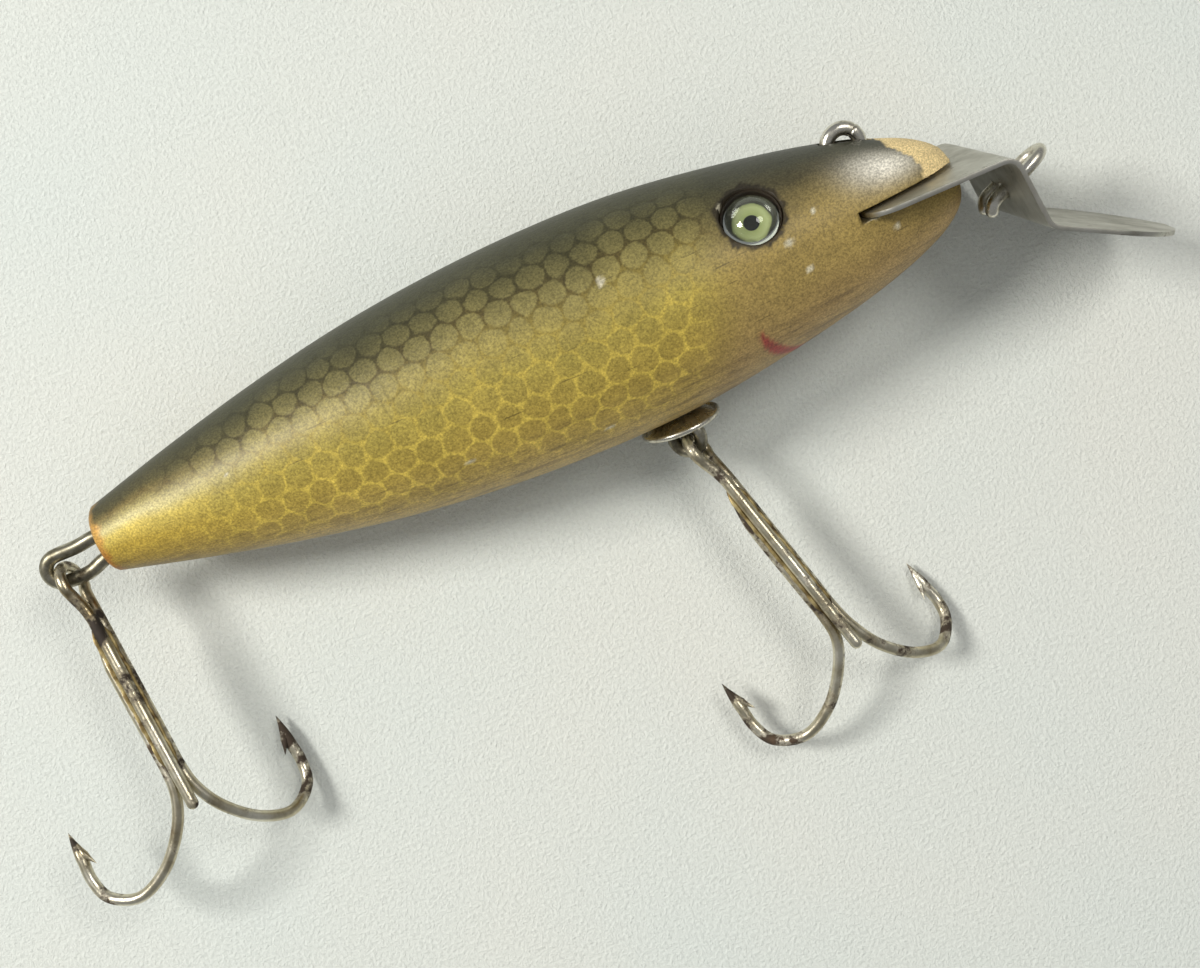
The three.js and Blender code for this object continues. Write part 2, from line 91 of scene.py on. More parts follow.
add_soft_light("left_light", -0.46, 0.07, 0.46, 0.20, 4.0)
add_soft_light("right_light", 0.22, 0.24, 0.58, 0.24, 1.3)
add_soft_light("overhead_light", 0.05, -0.22, 0.75, 0.80, 1.0)
world = bpy.data.worlds.new("surround")
world.use_nodes = True
world.node_tree.nodes["Background"].inputs["Color"].default_value = (0.93, 0.96, 1.0, 1)
world.node_tree.nodes["Background"].inputs["Strength"].default_value = 0.27
bpy.context.scene.world = world


# Table: a sheet of pale, slightly toothed drawing paper. Its tooth is a fine bump of about
# 0.4 mm pitch, with a very faint warm and cool drift in the colour and a few dark crumbs.
def node(tree, kind, inputs=None, **settings):
    made = tree.nodes.new(kind)
    for name, value in settings.items():
        setattr(made, name, value)
    for name, value in (inputs or {}).items():
        if isinstance(value, bpy.types.NodeSocket):
            tree.links.new(value, made.inputs[name])
        else:
            made.inputs[name].default_value = value
    return made


def linear(code):
    parts = [int(code[i:i + 2], 16) / 255 for i in (0, 2, 4)]
    return tuple(c / 12.92 if c <= 0.04045 else ((c + 0.055) / 1.055) ** 2.4 for c in parts) + (1.0,)


def new_material(name):
    material = bpy.data.materials.new(name)
    material.use_nodes = True
    tree = material.node_tree
    shader = tree.nodes["Principled BSDF"]
    return material, tree, shader


def set_ramp(ramp, stops):
    elements = ramp.color_ramp.elements
    while len(elements) < len(stops):
        elements.new(0.5)
    for element, (place, code) in zip(elements, stops):
        element.position = place
        element.color = linear(code)


paper, tree, shader = new_material("toothed_paper")
place = node(tree, "ShaderNodeTexCoord").outputs["Object"]
tooth = node(tree, "ShaderNodeTexNoise",
             {"Vector": place, "Scale": 2600.0, "Detail": 3.0, "Roughness": 0.7})
drift = node(tree, "ShaderNodeTexNoise", {"Vector": place, "Scale": 26.0, "Detail": 2.0})
tint = node(tree, "ShaderNodeValToRGB", {"Fac": drift.outputs["Fac"]})
set_ramp(tint, [(0.3, "cfd4ce"), (0.7, "d4d5cd")])
relief = node(tree, "ShaderNodeBump",
              {"Height": tooth.outputs["Fac"], "Strength": 0.8, "Distance": 0.00035})
speckle = node(tree, "ShaderNodeMapRange", {"Value": tooth.outputs["Fac"], "From Min": 0.3, "From Max": 0.7,
                                            "To Min": 0.92, "To Max": 1.08}).outputs["Result"]
toothed = node(tree, "ShaderNodeVectorMath", {0: tint.outputs["Color"], "Scale": speckle},
               operation="SCALE")
crumbs = node(tree, "ShaderNodeTexVoronoi", {"Vector": place, "Scale": 42.0})
crumb_size = node(tree, "ShaderNodeMath", {0: crumbs.outputs["Distance"], 1: 0.016},
                  operation="LESS_THAN").outputs[0]
crumb = node(tree, "ShaderNodeMix", {"Factor": crumb_size, "A": toothed.outputs[0], "B": linear("4d4234")},
             data_type="RGBA")
tree.links.new(crumb.outputs["Result"], shader.inputs["Base Color"])
tree.links.new(relief.outputs["Normal"], shader.inputs["Normal"])
shader.inputs["Roughness"].default_value = 0.9
TABLE_HALF = 1.2
table_mesh = bpy.data.meshes.new("table")
table_mesh.from_pydata([(-TABLE_HALF, -TABLE_HALF, 0), (TABLE_HALF, -TABLE_HALF, 0),
                        (TABLE_HALF, TABLE_HALF, 0), (-TABLE_HALF, TABLE_HALF, 0)], [], [(0, 1, 2, 3)])
table_mesh.materials.append(paper)
table = bpy.data.objects.new("table", table_mesh)
bpy.context.scene.collection.objects.link(table)


# Wooden body: cedar turned round on a lathe, sawn across the nose for the lip, drilled for the
# glass eyes and the screw eyes, primed, sprayed and varnished.
BODY_LENGTH = 88.9
BODY_OUTLINE = [
    (0.5, 3.4), (9.6, 5.8), (19.2, 8.0), (28.7, 9.7), (38.3, 10.75), (48.0, 11.2), (57.5, 10.95),
    (67.0, 9.75), (76.6, 7.9), (82.5, 6.2), (86.3, 4.5), (88.2, 2.8), (BODY_LENGTH, 0.0)]
TAIL_FLAT = 2.9
LIP_LEVEL = 1.0
LIP_SHEET = 0.55
SAW_CUT = 1.15
SAW_BACK = 77.4
HEAD_EYE_X = 79.75
HEAD_EYE_Z = 6.6
GLASS_X = 68.2
GLASS_LIFT = math.radians(35)
SOCKET_RADIUS = 2.95
SOCKET_FLOOR = 6.7


def smooth_path(points, steps=12):
    """Centripetal Catmull-Rom curve through the points, as an array of places along it."""
    given = np.array(points, float)
    full = np.vstack([2 * given[0] - given[1], given, 2 * given[-1] - given[-2]])
    knots = np.concatenate([[0], np.cumsum(np.linalg.norm(np.diff(full, axis=0), axis=1) ** 0.5)])
    places = []
    for i in range(1, len(full) - 2):
        k0, k1, k2, k3 = knots[i - 1:i + 3]
        p0, p1, p2, p3 = full[i - 1:i + 3]
        for k in np.linspace(k1, k2, steps, endpoint=False):
            a1 = (k1 - k) / (k1 - k0) * p0 + (k - k0) / (k1 - k0) * p1
            a2 = (k2 - k) / (k2 - k1) * p1 + (k - k1) / (k2 - k1) * p2
            a3 = (k3 - k) / (k3 - k2) * p2 + (k - k2) / (k3 - k2) * p3
            b1 = (k2 - k) / (k2 - k0) * a1 + (k - k0) / (k2 - k0) * a2
            b2 = (k3 - k) / (k3 - k1) * a2 + (k - k1) / (k3 - k1) * a3
            places.append((k2 - k) / (k2 - k1) * b1 + (k - k1) / (k2 - k1) * b2)
    places.append(given[-1])
    return np.array(places)


def sweep(path, radius, sides=16, rounded=True):
    """Round bar along a path: places and faces, with domed or flat ends."""
    path = np.array(path, float)
    radius = np.broadcast_to(radius, len(path)).astype(float).copy()
    along = np.gradient(path, axis=0)
    along /= np.linalg.norm(along, axis=1)[:, None]
    rings = []
    if rounded:
        for turn in np.radians([65, 40, 18]):
            back = along[0] * radius[0] * math.sin(turn)
            rings.append((path[0] - back, radius[0] * math.cos(turn), along[0]))
    rings += list(zip(path, radius, along))
    if rounded:
        for turn in np.radians([18, 40, 65]):
            ahead = along[-1] * radius[-1] * math.sin(turn)
            rings.append((path[-1] + ahead, radius[-1] * math.cos(turn), along[-1]))
    reach = 1.0 if rounded else 0.0
    first = path[0] - along[0] * radius[0] * reach
    last = path[-1] + along[-1] * radius[-1] * reach
    side = np.cross(along[0], [0.0, 0.0, 1.0])
    if np.linalg.norm(side) < 0.1:
        side = np.cross(along[0], [0.0, 1.0, 0.0])
    turns = np.linspace(0, 2 * math.pi, sides, endpoint=False)
    places = []
    for centre, r, direction in rings:
        side = side - direction * np.dot(side, direction)
        side /= np.linalg.norm(side)
        other = np.cross(direction, side)
        places += [centre + r * (math.cos(t) * side + math.sin(t) * other) for t in turns]
    count = len(rings)
    faces = []
    for i in range(count - 1):
        for j in range(sides):
            k = (j + 1) % sides
            faces.append((i * sides + j, i * sides + k, (i + 1) * sides + k, (i + 1) * sides + j))
    places += [first, last]
    for j in range(sides):
        k = (j + 1) % sides
        faces.append((count * sides, k, j))
        faces.append((count * sides + 1, (count - 1) * sides + j, (count - 1) * sides + k))
    return np.array(places), faces


def lathe(profile, steps):
    """Surface turned round the x axis from (x, radius) points; the first and last lie on the axis."""
    places = [(profile[0][0], 0.0, 0.0)]
    turns = np.linspace(0, 2 * math.pi, steps, endpoint=False)
    for x, r in profile[1:-1]:
        places += [(x, r * math.sin(t), r * math.cos(t)) for t in turns]
    places.append((profile[-1][0], 0.0, 0.0))
    rows = len(profile) - 2
    faces = []
    for j in range(steps):
        k = (j + 1) % steps
        faces.append((0, 1 + k, 1 + j))
        for i in range(rows - 1):
            a, b = 1 + i * steps, 1 + (i + 1) * steps
            faces.append((a + j, a + k, b + k, b + j))
        end = 1 + (rows - 1) * steps
        faces.append((len(places) - 1, end + j, end + k))
    return np.array(places), faces


def join_shapes(shapes):
    places, faces, offset = [], [], 0
    for some_places, some_faces in shapes:
        places.append(np.asarray(some_places))
        faces += [tuple(index + offset for index in face) for face in some_faces]
        offset += len(some_places)
    return np.vstack(places), faces


def make_piece(name, shape, placed, smooth_angle=40.0):
    """Mesh object at the origin, with its shape laid into the lure's frame and facing outwards."""
    places, faces = shape
    mesh = bpy.data.meshes.new(name)
    mesh.from_pydata([placed @ Vector(place) for place in places], [], faces)
    built = bmesh.new()
    built.from_mesh(mesh)
    bmesh.ops.recalc_face_normals(built, faces=built.faces)
    built.to_mesh(mesh)
    built.free()
    piece = bpy.data.objects.new(name, mesh)
    bpy.context.scene.collection.objects.link(piece)
    mesh.shade_smooth()
    mesh.set_sharp_from_angle(angle=math.radians(smooth_angle))
    return piece


def box_shape(low, high):
    corners = [(x, y, z) for x in (low[0], high[0]) for y in (low[1], high[1]) for z in (low[2], high[2])]
    faces = [(0, 1, 3, 2), (4, 6, 7, 5), (0, 4, 5, 1), (2, 3, 7, 6), (0, 2, 6, 4), (1, 5, 7, 3)]
    return np.array(corners), faces


def bar(start, end, radius, sides=48):
    return sweep([start, end], radius, sides, rounded=False)


def applied(piece):
    """The piece with its modifiers worked into its mesh."""
    bpy.context.view_layer.update()
    evaluated = piece.evaluated_get(bpy.context.evaluated_depsgraph_get())
    mesh = bpy.data.meshes.new_from_object(evaluated)
    piece.modifiers.clear()
    piece.data = mesh
    return piece


def cut(piece, shapes, placed):
    """Cuts closed shapes out of a piece."""
    for shape in shapes:
        tool = make_piece("cutter", shape, placed)
        modifier = piece.modifiers.new("cut", "BOOLEAN")
        modifier.operation = "DIFFERENCE"
        modifier.solver = "EXACT"
        modifier.object = tool
        applied(piece)
        bpy.data.objects.remove(tool)
    return piece


def eye_axis(side, distance):
    return (GLASS_X, side * math.cos(GLASS_LIFT) * distance, math.sin(GLASS_LIFT) * distance)


outline = smooth_path(BODY_OUTLINE)
outline[:, 1] = np.maximum(outline[:, 1], 0)
BODY_ROWS = 250
BODY_STEPS = 210
even = np.linspace(0.5, BODY_LENGTH - 0.9, BODY_ROWS)
nose = BODY_LENGTH - 0.9 * np.cos(np.linspace(0, math.pi / 2, 10))[1:-1]
profile = [(0.0, 0.0), (0.0, 1.4), (0.0, TAIL_FLAT - 0.25), (0.06, TAIL_FLAT), (0.22, TAIL_FLAT + 0.25)]
profile += [(x, np.interp(x, outline[:, 0], outline[:, 1])) for x in np.concatenate([even, nose])]
profile.append((BODY_LENGTH, 0.0))
body = make_piece("painted_body", lathe(profile, BODY_STEPS), fish)
EYE_RECESS = 2.6
PILOT_RADIUS = 1.0
TAIL_RECESS_RADIUS = 2.3
TAIL_RECESS_DEPTH = 1.9
cuts = [
    box_shape((SAW_BACK, -20, LIP_LEVEL - SAW_CUT / 2), (BODY_LENGTH + 5, 20, LIP_LEVEL + SAW_CUT / 2)),
    bar((HEAD_EYE_X, -1.0, HEAD_EYE_Z), (HEAD_EYE_X, 1.0, HEAD_EYE_Z), EYE_RECESS),
    bar((HEAD_EYE_X, 0, HEAD_EYE_Z), (HEAD_EYE_X, 0, HEAD_EYE_Z - 10.5), PILOT_RADIUS, 24),
    bar((BELLY_EYE_X, 0, -15), (BELLY_EYE_X, 0, -2.6), PILOT_RADIUS, 24),
    bar((-1, 0, 0), (TAIL_RECESS_DEPTH, 0, 0), TAIL_RECESS_RADIUS),
    bar((0, 0, 0), (14.0, 0, 0), PILOT_RADIUS, 24)]
for side in (1, -1):
    cuts.append(bar(eye_axis(side, SOCKET_FLOOR), eye_axis(side, 14), SOCKET_RADIUS, 64))
    cuts.append(bar(eye_axis(side, 1.2), eye_axis(side, SOCKET_FLOOR + 0.1), 0.7, 24))
cut(body, cuts, fish)

# Paint of the body, worked out on its own skin: x along the fish, angle from the back and the
# distance round from the back. Base coats fade from an olive back to gold flanks and a tan belly.
to_fish = fish.inverted()
spots = np.array([to_fish @ v.co for v in body.data.vertices])
x, y, z = spots.T
angle = np.degrees(np.arctan2(np.abs(y), z))
body_radius = np.interp(x, outline[:, 0], outline[:, 1])
round_back = np.radians(angle) * body_radius
from_flank = round_back - math.pi / 2 * body_radius
ragged = 0.5 * np.sin(1.7 * y + 0.6 * z) + 0.28 * np.sin(4.3 * z + 2.1 * y) + 0.14 * np.sin(9.0 * y - 5 * z)


def fade(value, start, end):
    """Smooth step from 0 at start to 1 at end."""
    t = np.clip((value - start) / (end - start), 0, 1)
    return t * t * (3 - 2 * t)


def colours_by(value, stops):
    """Linear colours run along the (value, hex colour) stops."""
    at = [stop[0] for stop in stops]
    return np.stack([np.interp(value, at, [linear(stop[1])[i] for stop in stops]) for i in range(3)], 1)


def mixed(first, second, amount):
    return first * (1 - amount[:, None]) + second * amount[:, None]


def laid_over(coats, colour, amount):
    """Both coats, net and scale, covered by one colour where amount is 1."""
    return [mixed(coat, colour, amount) for coat in coats]


def plain_colour(code):
    return np.tile(linear(code)[:3], (len(x), 1))


flow = angle + 2.5 * np.sin(0.35 * x) + 1.5 * np.sin(0.9 * x + 0.05 * angle)
net = colours_by(flow, [
    (0, "33331f"), (30, "37351f"), (44, "3f3a20"), (54, "534824"), (64, "77692f"), (74, "93823a"),
    (84, "ab9742"), (112, "c6ad4d"), (128, "c4aa50"), (146, "bb9f5c"), (180, "b09a68")])
scale = colours_by(flow, [
    (0, "343421"), (24, "3d3c27"), (36, "514d30"), (47, "665f39"), (58, "7d7342"), (70, "8f8142"),
    (84, "97873d"), (108, "a18b3f"), (128, "ad944a"), (146, "b59b5a"), (180, "b09a68")])
head = colours_by(flow, [
    (0, "33342a"), (26, "3b3a2a"), (42, "4b452e"), (56, "74663d"), (72, "8d7940"), (100, "98824a"),
    (128, "a88c56"), (160, "ab905e"), (180, "a88f60")])
head_start = fade(x + 0.06 * (angle - 70), 60, 67)
net, scale = laid_over((net, scale), head, head_start)
# Towards the tail the coats turn gold. This is partly the paint's own tint and partly a painted highlight:
# the pale band about 70 to 80 degrees from the back stands in for light on the tapering tail.
tail_gold_and_highlight = colours_by(flow, [(0, "333320"), (40, "4a4429"), (50, "6f5f33"), (60, "8f834d"), (70, "bdb27b"),
                              (80, "cdb75e"), (100, "b3973c"), (130, "a0863c"), (180, "8f7b4c")])
tail_gold_and_highlight_amount = (1 - fade(x, 4, 20)) * 0.75
net, scale = laid_over((net, scale), tail_gold_and_highlight, tail_gold_and_highlight_amount)
# Painted highlight: a pale whitish patch on top of the snout stands in for the sheen of the varnish there.
snout_highlight = np.exp(-((x - 81.5) / 3.4) ** 2) * np.exp(-((angle - 50) / 15) ** 2) * (z > LIP_LEVEL)
net, scale = laid_over((net, scale), plain_colour("eae5d6"), 0.85 * snout_highlight)

# Gill mark: a short red crescent sprayed under each cheek.
outer = np.hypot((x - 71.8) / 1.15, round_back - 21.6)
inner = np.hypot(x - 79.5, round_back - 13.96)
gill = fade(-outer, -6.2, -5.8) * fade(inner, 15.7, 16.1) * 0.95
net, scale = laid_over((net, scale), plain_colour("a03a34"), gill)

# Wear: primer shows where the paint has peeled from the snout, round the eye sockets the
# varnish has chipped dark, and a few small chips go down to the white undercoat.
snout_edge = 84.9 + 0.05 * (angle - 60) * (angle < 60) + 0.45 * ragged
bare = fade(x, snout_edge, snout_edge + 0.16) * (z > LIP_LEVEL)
net, scale = laid_over((net, scale), plain_colour("dcc48e"), bare)
chipped = np.zeros(len(x))
for side in (1, -1):
    out = np.array(eye_axis(side, 1.0)) - np.array([GLASS_X, 0, 0])
    offset = spots - np.array([GLASS_X, 0, 0])
    from_axis = offset - np.outer(offset @ out, out)
    distance = np.linalg.norm(from_axis, axis=1)
    bearing = np.arctan2(from_axis[:, 0], from_axis @ np.array([0, -side * out[2], abs(out[1])]))
    spikes = 0.28 + 0.3 * np.maximum(0, np.sin(5.0 * bearing + 0.8)) ** 3 * (np.cos(bearing + 0.9) > 0)
    spikes += 0.12 * np.maximum(0, np.sin(13 * bearing)) ** 2
    near = (offset @ out) > 0
    reach = SOCKET_RADIUS + spikes
    chipped = np.maximum(chipped, near * fade(-distance, -(reach + 0.12), -reach))
net, scale = laid_over((net, scale), plain_colour("231d13"), chipped * 0.9)
CHIPS = [(53.3, 60, 0.35, 0.5), (70.4, 78, 0.42, 0.38), (71.3, 97, 0.5, 0.3), (80.5, 99, 0.3, 0.5),
         (79.0, 86, 0.45, 0.22), (66.0, 45, 0.2, 0.4), (36.0, 118, 0.5, 0.22), (49.0, 132, 0.6, 0.2),
         (15.0, 70, 0.25, 0.2), (73.6, 66, 0.18, 0.3)]
white_chip = np.zeros(len(x))
for chip_x, chip_angle, chip_long, chip_wide in CHIPS:
    around = (angle - chip_angle) * np.pi / 180 * body_radius
    reach = np.hypot((x - chip_x) / chip_long, around / chip_wide) * 1.15 + 0.35 * ragged
    white_chip = np.maximum(white_chip, (y < 0) * (1 - fade(reach, 0.6, 1.2)))
net, scale = laid_over((net, scale), plain_colour("bfb89f"), white_chip)
tail_wear = fade(-x, -1.1 - 0.5 * ragged, -0.5 - 0.5 * ragged)
tail_wear_colour = colours_by(flow, [
    (0, "6b5a33"), (50, "a8803f"), (75, "b98f45"), (105, "a9742f"), (180, "a9742f")])
net, scale = laid_over((net, scale), tail_wear_colour, tail_wear)
raw_wood = (body_radius - np.hypot(y, z) > 0.12) * (x > 0.3) * 1.0
raw_wood = np.maximum(raw_wood, (x < 0.3) * (np.hypot(y, z) < 2.45))
net, scale = laid_over((net, scale), plain_colour("3a2c1a"), raw_wood)
for vertex, depth in zip(body.data.vertices, 0.10 * bare * (1 - raw_wood) + 0.05 * white_chip):
    if depth > 0:
        vertex.co -= vertex.normal * depth * MM


def store(mesh, name, kind, values):
    layer = mesh.attributes.new(name, kind, "POINT")
    if kind == "FLOAT_COLOR":
        values = np.column_stack([values, np.ones(len(values))])
        layer.data.foreach_set("color", values.astype(np.float32).ravel())
    elif kind == "FLOAT_VECTOR":
        layer.data.foreach_set("vector", values.astype(np.float32).ravel())
    else:
        layer.data.foreach_set("value", values.astype(np.float32).ravel())


skin = np.column_stack([x, from_flank, y * 0.01])
pattern = (1 - head_start) * (1 - raw_wood) * (1 - fade(angle, 150, 168)) * fade(angle, 8, 26)
store(body.data, "net", "FLOAT_COLOR", net)
store(body.data, "scale", "FLOAT_COLOR", scale)
store(body.data, "skin", "FLOAT_VECTOR", skin)
store(body.data, "pattern", "FLOAT", pattern)
store(body.data, "plain", "FLOAT", np.clip(bare + raw_wood + white_chip + chipped, 0, 1))
store(body.data, "under", "FLOAT", fade(angle, 98, 135) * (1 - raw_wood) * (1 - bare))

# Sprayed enamel under varnish: olive sprayed through netting leaves six-sided scales 2.65 mm
# apart, bronze powder glitters in it at a grain drawn 0.2 mm wide, and the varnish is glossy.
SCALE_PITCH = 2.65
enamel, tree, shader = new_material("sprayed_enamel")
skin_at = node(tree, "ShaderNodeAttribute", attribute_name="skin").outputs["Vector"]
wobble = node(tree, "ShaderNodeTexNoise", {"Vector": skin_at, "Scale": 0.42, "Detail": 1.0})
wobble_out = node(tree, "ShaderNodeVectorMath", {0: wobble.outputs["Color"], 1: (0.5, 0.5, 0.5)},
                  operation="SUBTRACT").outputs[0]
wobble_mm = node(tree, "ShaderNodeVectorMath", {0: wobble_out, "Scale": 1.0}, operation="SCALE").outputs[0]
bent = node(tree, "ShaderNodeVectorMath", {0: skin_at, 1: wobble_mm}, operation="ADD").outputs[0]
flat = node(tree, "ShaderNodeVectorMath", {0: bent, 1: (1, 1, 0)}, operation="MULTIPLY").outputs[0]
nearest = []
for shift in ((0.0, 0.0, 0.0), (SCALE_PITCH / 2, SCALE_PITCH * math.sqrt(3) / 2, 0.0)):
    moved = node(tree, "ShaderNodeVectorMath", {0: flat, 1: shift}, operation="ADD").outputs[0]
    cell = (SCALE_PITCH, SCALE_PITCH * math.sqrt(3), 1.0)
    rounded_off = node(tree, "ShaderNodeVectorMath", {0: moved, 1: cell}, operation="SNAP").outputs[0]
    middle = node(tree, "ShaderNodeVectorMath", {0: rounded_off, 1: (cell[0] / 2, cell[1] / 2, 0.0)},
                  operation="ADD").outputs[0]
    apart = node(tree, "ShaderNodeVectorMath", {0: moved, 1: middle}, operation="DISTANCE").outputs["Value"]
    nearest.append(apart)
from_middle = node(tree, "ShaderNodeMath", {0: nearest[0], 1: nearest[1]}, operation="MINIMUM").outputs[0]
edge_noise = node(tree, "ShaderNodeTexNoise", {"Vector": skin_at, "Scale": 3.0, "Detail": 3.0})
edge_soft = node(tree, "ShaderNodeMath", {0: edge_noise.outputs["Fac"], 1: 0.3, 2: from_middle},
                 operation="MULTIPLY_ADD").outputs[0]
lines = node(tree, "ShaderNodeMapRange", {"Value": edge_soft, "From Min": 1.24, "From Max": 1.50},
             interpolation_type="SMOOTHSTEP").outputs["Result"]
pattern_at = node(tree, "ShaderNodeAttribute", attribute_name="pattern").outputs["Fac"]
half_way = node(tree, "ShaderNodeMath", {0: lines, 1: 0.25}, operation="SUBTRACT").outputs[0]
net_amount = node(tree, "ShaderNodeMath", {0: half_way, 1: pattern_at, 2: 0.25},
                  operation="MULTIPLY_ADD").outputs[0]
net_at = node(tree, "ShaderNodeAttribute", attribute_name="net").outputs["Color"]
scale_at = node(tree, "ShaderNodeAttribute", attribute_name="scale").outputs["Color"]
coats = node(tree, "ShaderNodeMix", {"Factor": net_amount, "A": scale_at, "B": net_at}, data_type="RGBA")
coats_out = coats.outputs["Result"]
plain_at = node(tree, "ShaderNodeAttribute", attribute_name="plain").outputs["Fac"]
painted = node(tree, "ShaderNodeMath", {0: 1.0, 1: plain_at}, operation="SUBTRACT").outputs[0]
grain = node(tree, "ShaderNodeTexNoise", {"Vector": skin_at, "Scale": 5.0, "Detail": 3.0, "Roughness": 0.7})
glint = node(tree, "ShaderNodeMapRange", {"Value": grain.outputs["Fac"], "From Min": 0.36, "From Max": 0.68,
                                          "To Min": 0.66, "To Max": 1.42}).outputs["Result"]
mottle = node(tree, "ShaderNodeTexNoise", {"Vector": skin_at, "Scale": 0.35, "Detail": 4.0})
mottle_gain = node(tree, "ShaderNodeMapRange", {
    "Value": mottle.outputs["Fac"], "From Min": 0.3, "From Max": 0.7, "To Min": 0.88,
    "To Max": 1.10}).outputs["Result"]
gain = node(tree, "ShaderNodeMath", {0: glint, 1: mottle_gain}, operation="MULTIPLY").outputs[0]
grained = node(tree, "ShaderNodeVectorMath", {0: coats_out, "Scale": gain}, operation="SCALE").outputs[0]
# Dark brown streaks laid over the paint, stronger towards the belly.
streak_place = node(tree, "ShaderNodeVectorMath", {0: skin_at, 1: (0.10, 0.75, 1.0)}, operation="MULTIPLY")
streaks = node(tree, "ShaderNodeTexNoise", {"Vector": streak_place.outputs[0], "Scale": 1.6, "Detail": 5.0,
                                            "Roughness": 0.65})
streak_mask = node(tree, "ShaderNodeMapRange", {
    "Value": streaks.outputs["Fac"], "From Min": 0.47, "From Max": 0.67, "To Max": 0.55}).outputs["Result"]
under_at = node(tree, "ShaderNodeAttribute", attribute_name="under").outputs["Fac"]
belly_streaks = node(tree, "ShaderNodeMath", {0: streak_mask, 1: under_at}, operation="MULTIPLY").outputs[0]
belly_streaked = node(tree, "ShaderNodeMix", {"Factor": belly_streaks, "A": grained, "B": linear("4a3826")},
              data_type="RGBA")
scratch_place = node(tree, "ShaderNodeVectorMath", {0: skin_at, 1: (0.16, 2.6, 1.0)}, operation="MULTIPLY")
scratches = node(tree, "ShaderNodeTexNoise",
                 {"Vector": scratch_place.outputs[0], "Scale": 1.1, "Detail": 2.0})
scratch_mask = node(tree, "ShaderNodeMapRange", {"Value": scratches.outputs["Fac"], "From Min": 0.70,
                                                 "From Max": 0.74, "To Max": 0.5}).outputs["Result"]
scratched = node(tree, "ShaderNodeMix", {"Factor": scratch_mask, "A": belly_streaked.outputs["Result"],
                                         "B": linear("33291a")}, data_type="RGBA")
tree.links.new(scratched.outputs["Result"], shader.inputs["Base Color"])
rough = node(tree, "ShaderNodeMapRange",
             {"Value": plain_at, "To Min": 0.5, "To Max": 0.85}).outputs["Result"]
tree.links.new(rough, shader.inputs["Roughness"])
powder = node(tree, "ShaderNodeMath", {0: painted, 1: 0.12}, operation="MULTIPLY").outputs[0]
tree.links.new(powder, shader.inputs["Metallic"])
shader.inputs["Coat Weight"].default_value = 0.12
shader.inputs["Coat Roughness"].default_value = 0.3
shader.inputs["Specular IOR Level"].default_value = 0.3
skin_relief = node(tree, "ShaderNodeTexNoise", {"Vector": skin_at, "Scale": 1.2, "Detail": 4.0})
relief = node(tree, "ShaderNodeBump", {"Height": skin_relief.outputs["Fac"], "Strength": 0.25,
                                       "Distance": 0.00025})
fine_relief = node(tree, "ShaderNodeBump", {"Height": grain.outputs["Fac"], "Strength": 0.25,
                                            "Distance": 0.00006, "Normal": relief.outputs["Normal"]})
tree.links.new(fine_relief.outputs["Normal"], shader.inputs["Normal"])
body.data.materials.clear()
body.data.materials.append(enamel)
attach(body, "lure_body")
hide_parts("wooden_body")


# Diving lip: one strip of nickel-plated sheet, bent down and then forward, pushed into the saw
# cut and held there by the head's screw eye, which passes through it.
LIP_HALF_WIDTH = 9.65
LIP_BACK = 78.0
LIP_BEND_X = 92.0
LIP_RISER = 7.4
LIP_RISER_ANGLE = math.radians(81)
LIP_BLADE = 15.0
LIP_BLADE_ANGLE = math.radians(27.6)
LIP_NOSE_LENGTH = 7.5
LIP_CORNER = 3.0
LIP_BEND_RADIUS = 1.5
TIE_WIRE = 1.3
TIE_SPREAD = 2.6
TIE_DROP = 4.3
TIE_REACH = 4.6
TIE_RISE = math.tan(math.radians(24))


def lip_line():
    """Middle of the strip from its back edge to its tip, as (x, z) places with both bends rounded."""
    down = np.array([math.cos(LIP_RISER_ANGLE), -math.sin(LIP_RISER_ANGLE)])
    out = np.array([math.cos(LIP_BLADE_ANGLE), -math.sin(LIP_BLADE_ANGLE)])
    start = np.array([LIP_BACK, LIP_LEVEL])
    bend = np.array([LIP_BEND_X, LIP_LEVEL])
    root = bend + down * LIP_RISER
    tip = root + out * LIP_BLADE
    corners = [start, bend, root, tip]
    line = [start]
    for before, corner, after in zip(corners, corners[1:], corners[2:]):
        back = (before - corner) / np.linalg.norm(before - corner)
        ahead = (after - corner) / np.linalg.norm(after - corner)
        half = math.acos(np.dot(back, ahead)) / 2
        reach = LIP_BEND_RADIUS / math.tan(half)
        for t in np.linspace(0, 1, 12):
            arrives = (1 - t) ** 2 * (corner + back * reach)
            leaves = t * t * (corner + ahead * reach)
            line.append(arrives + 2 * t * (1 - t) * corner + leaves)
    line.append(tip)
    return np.array(line)


def lip_half_width(place, tip):
    if place < LIP_BACK + LIP_CORNER:
        run = LIP_CORNER - (place - LIP_BACK)
        return LIP_HALF_WIDTH - LIP_CORNER + math.sqrt(max(LIP_CORNER ** 2 - run ** 2, 0))
    if place > tip - LIP_NOSE_LENGTH:
        run = (place - (tip - LIP_NOSE_LENGTH)) / LIP_NOSE_LENGTH
        return LIP_HALF_WIDTH * math.sqrt(max(1 - run ** 2, 0.0004))
    return LIP_HALF_WIDTH


def tie_leg(side):
    foot = LIP_BEND_X + 0.6
    height = LIP_LEVEL - TIE_DROP
    return [(foot + run, side * TIE_SPREAD / 2, height + run * TIE_RISE) for run in (2.4, 1.5, -1.5)]


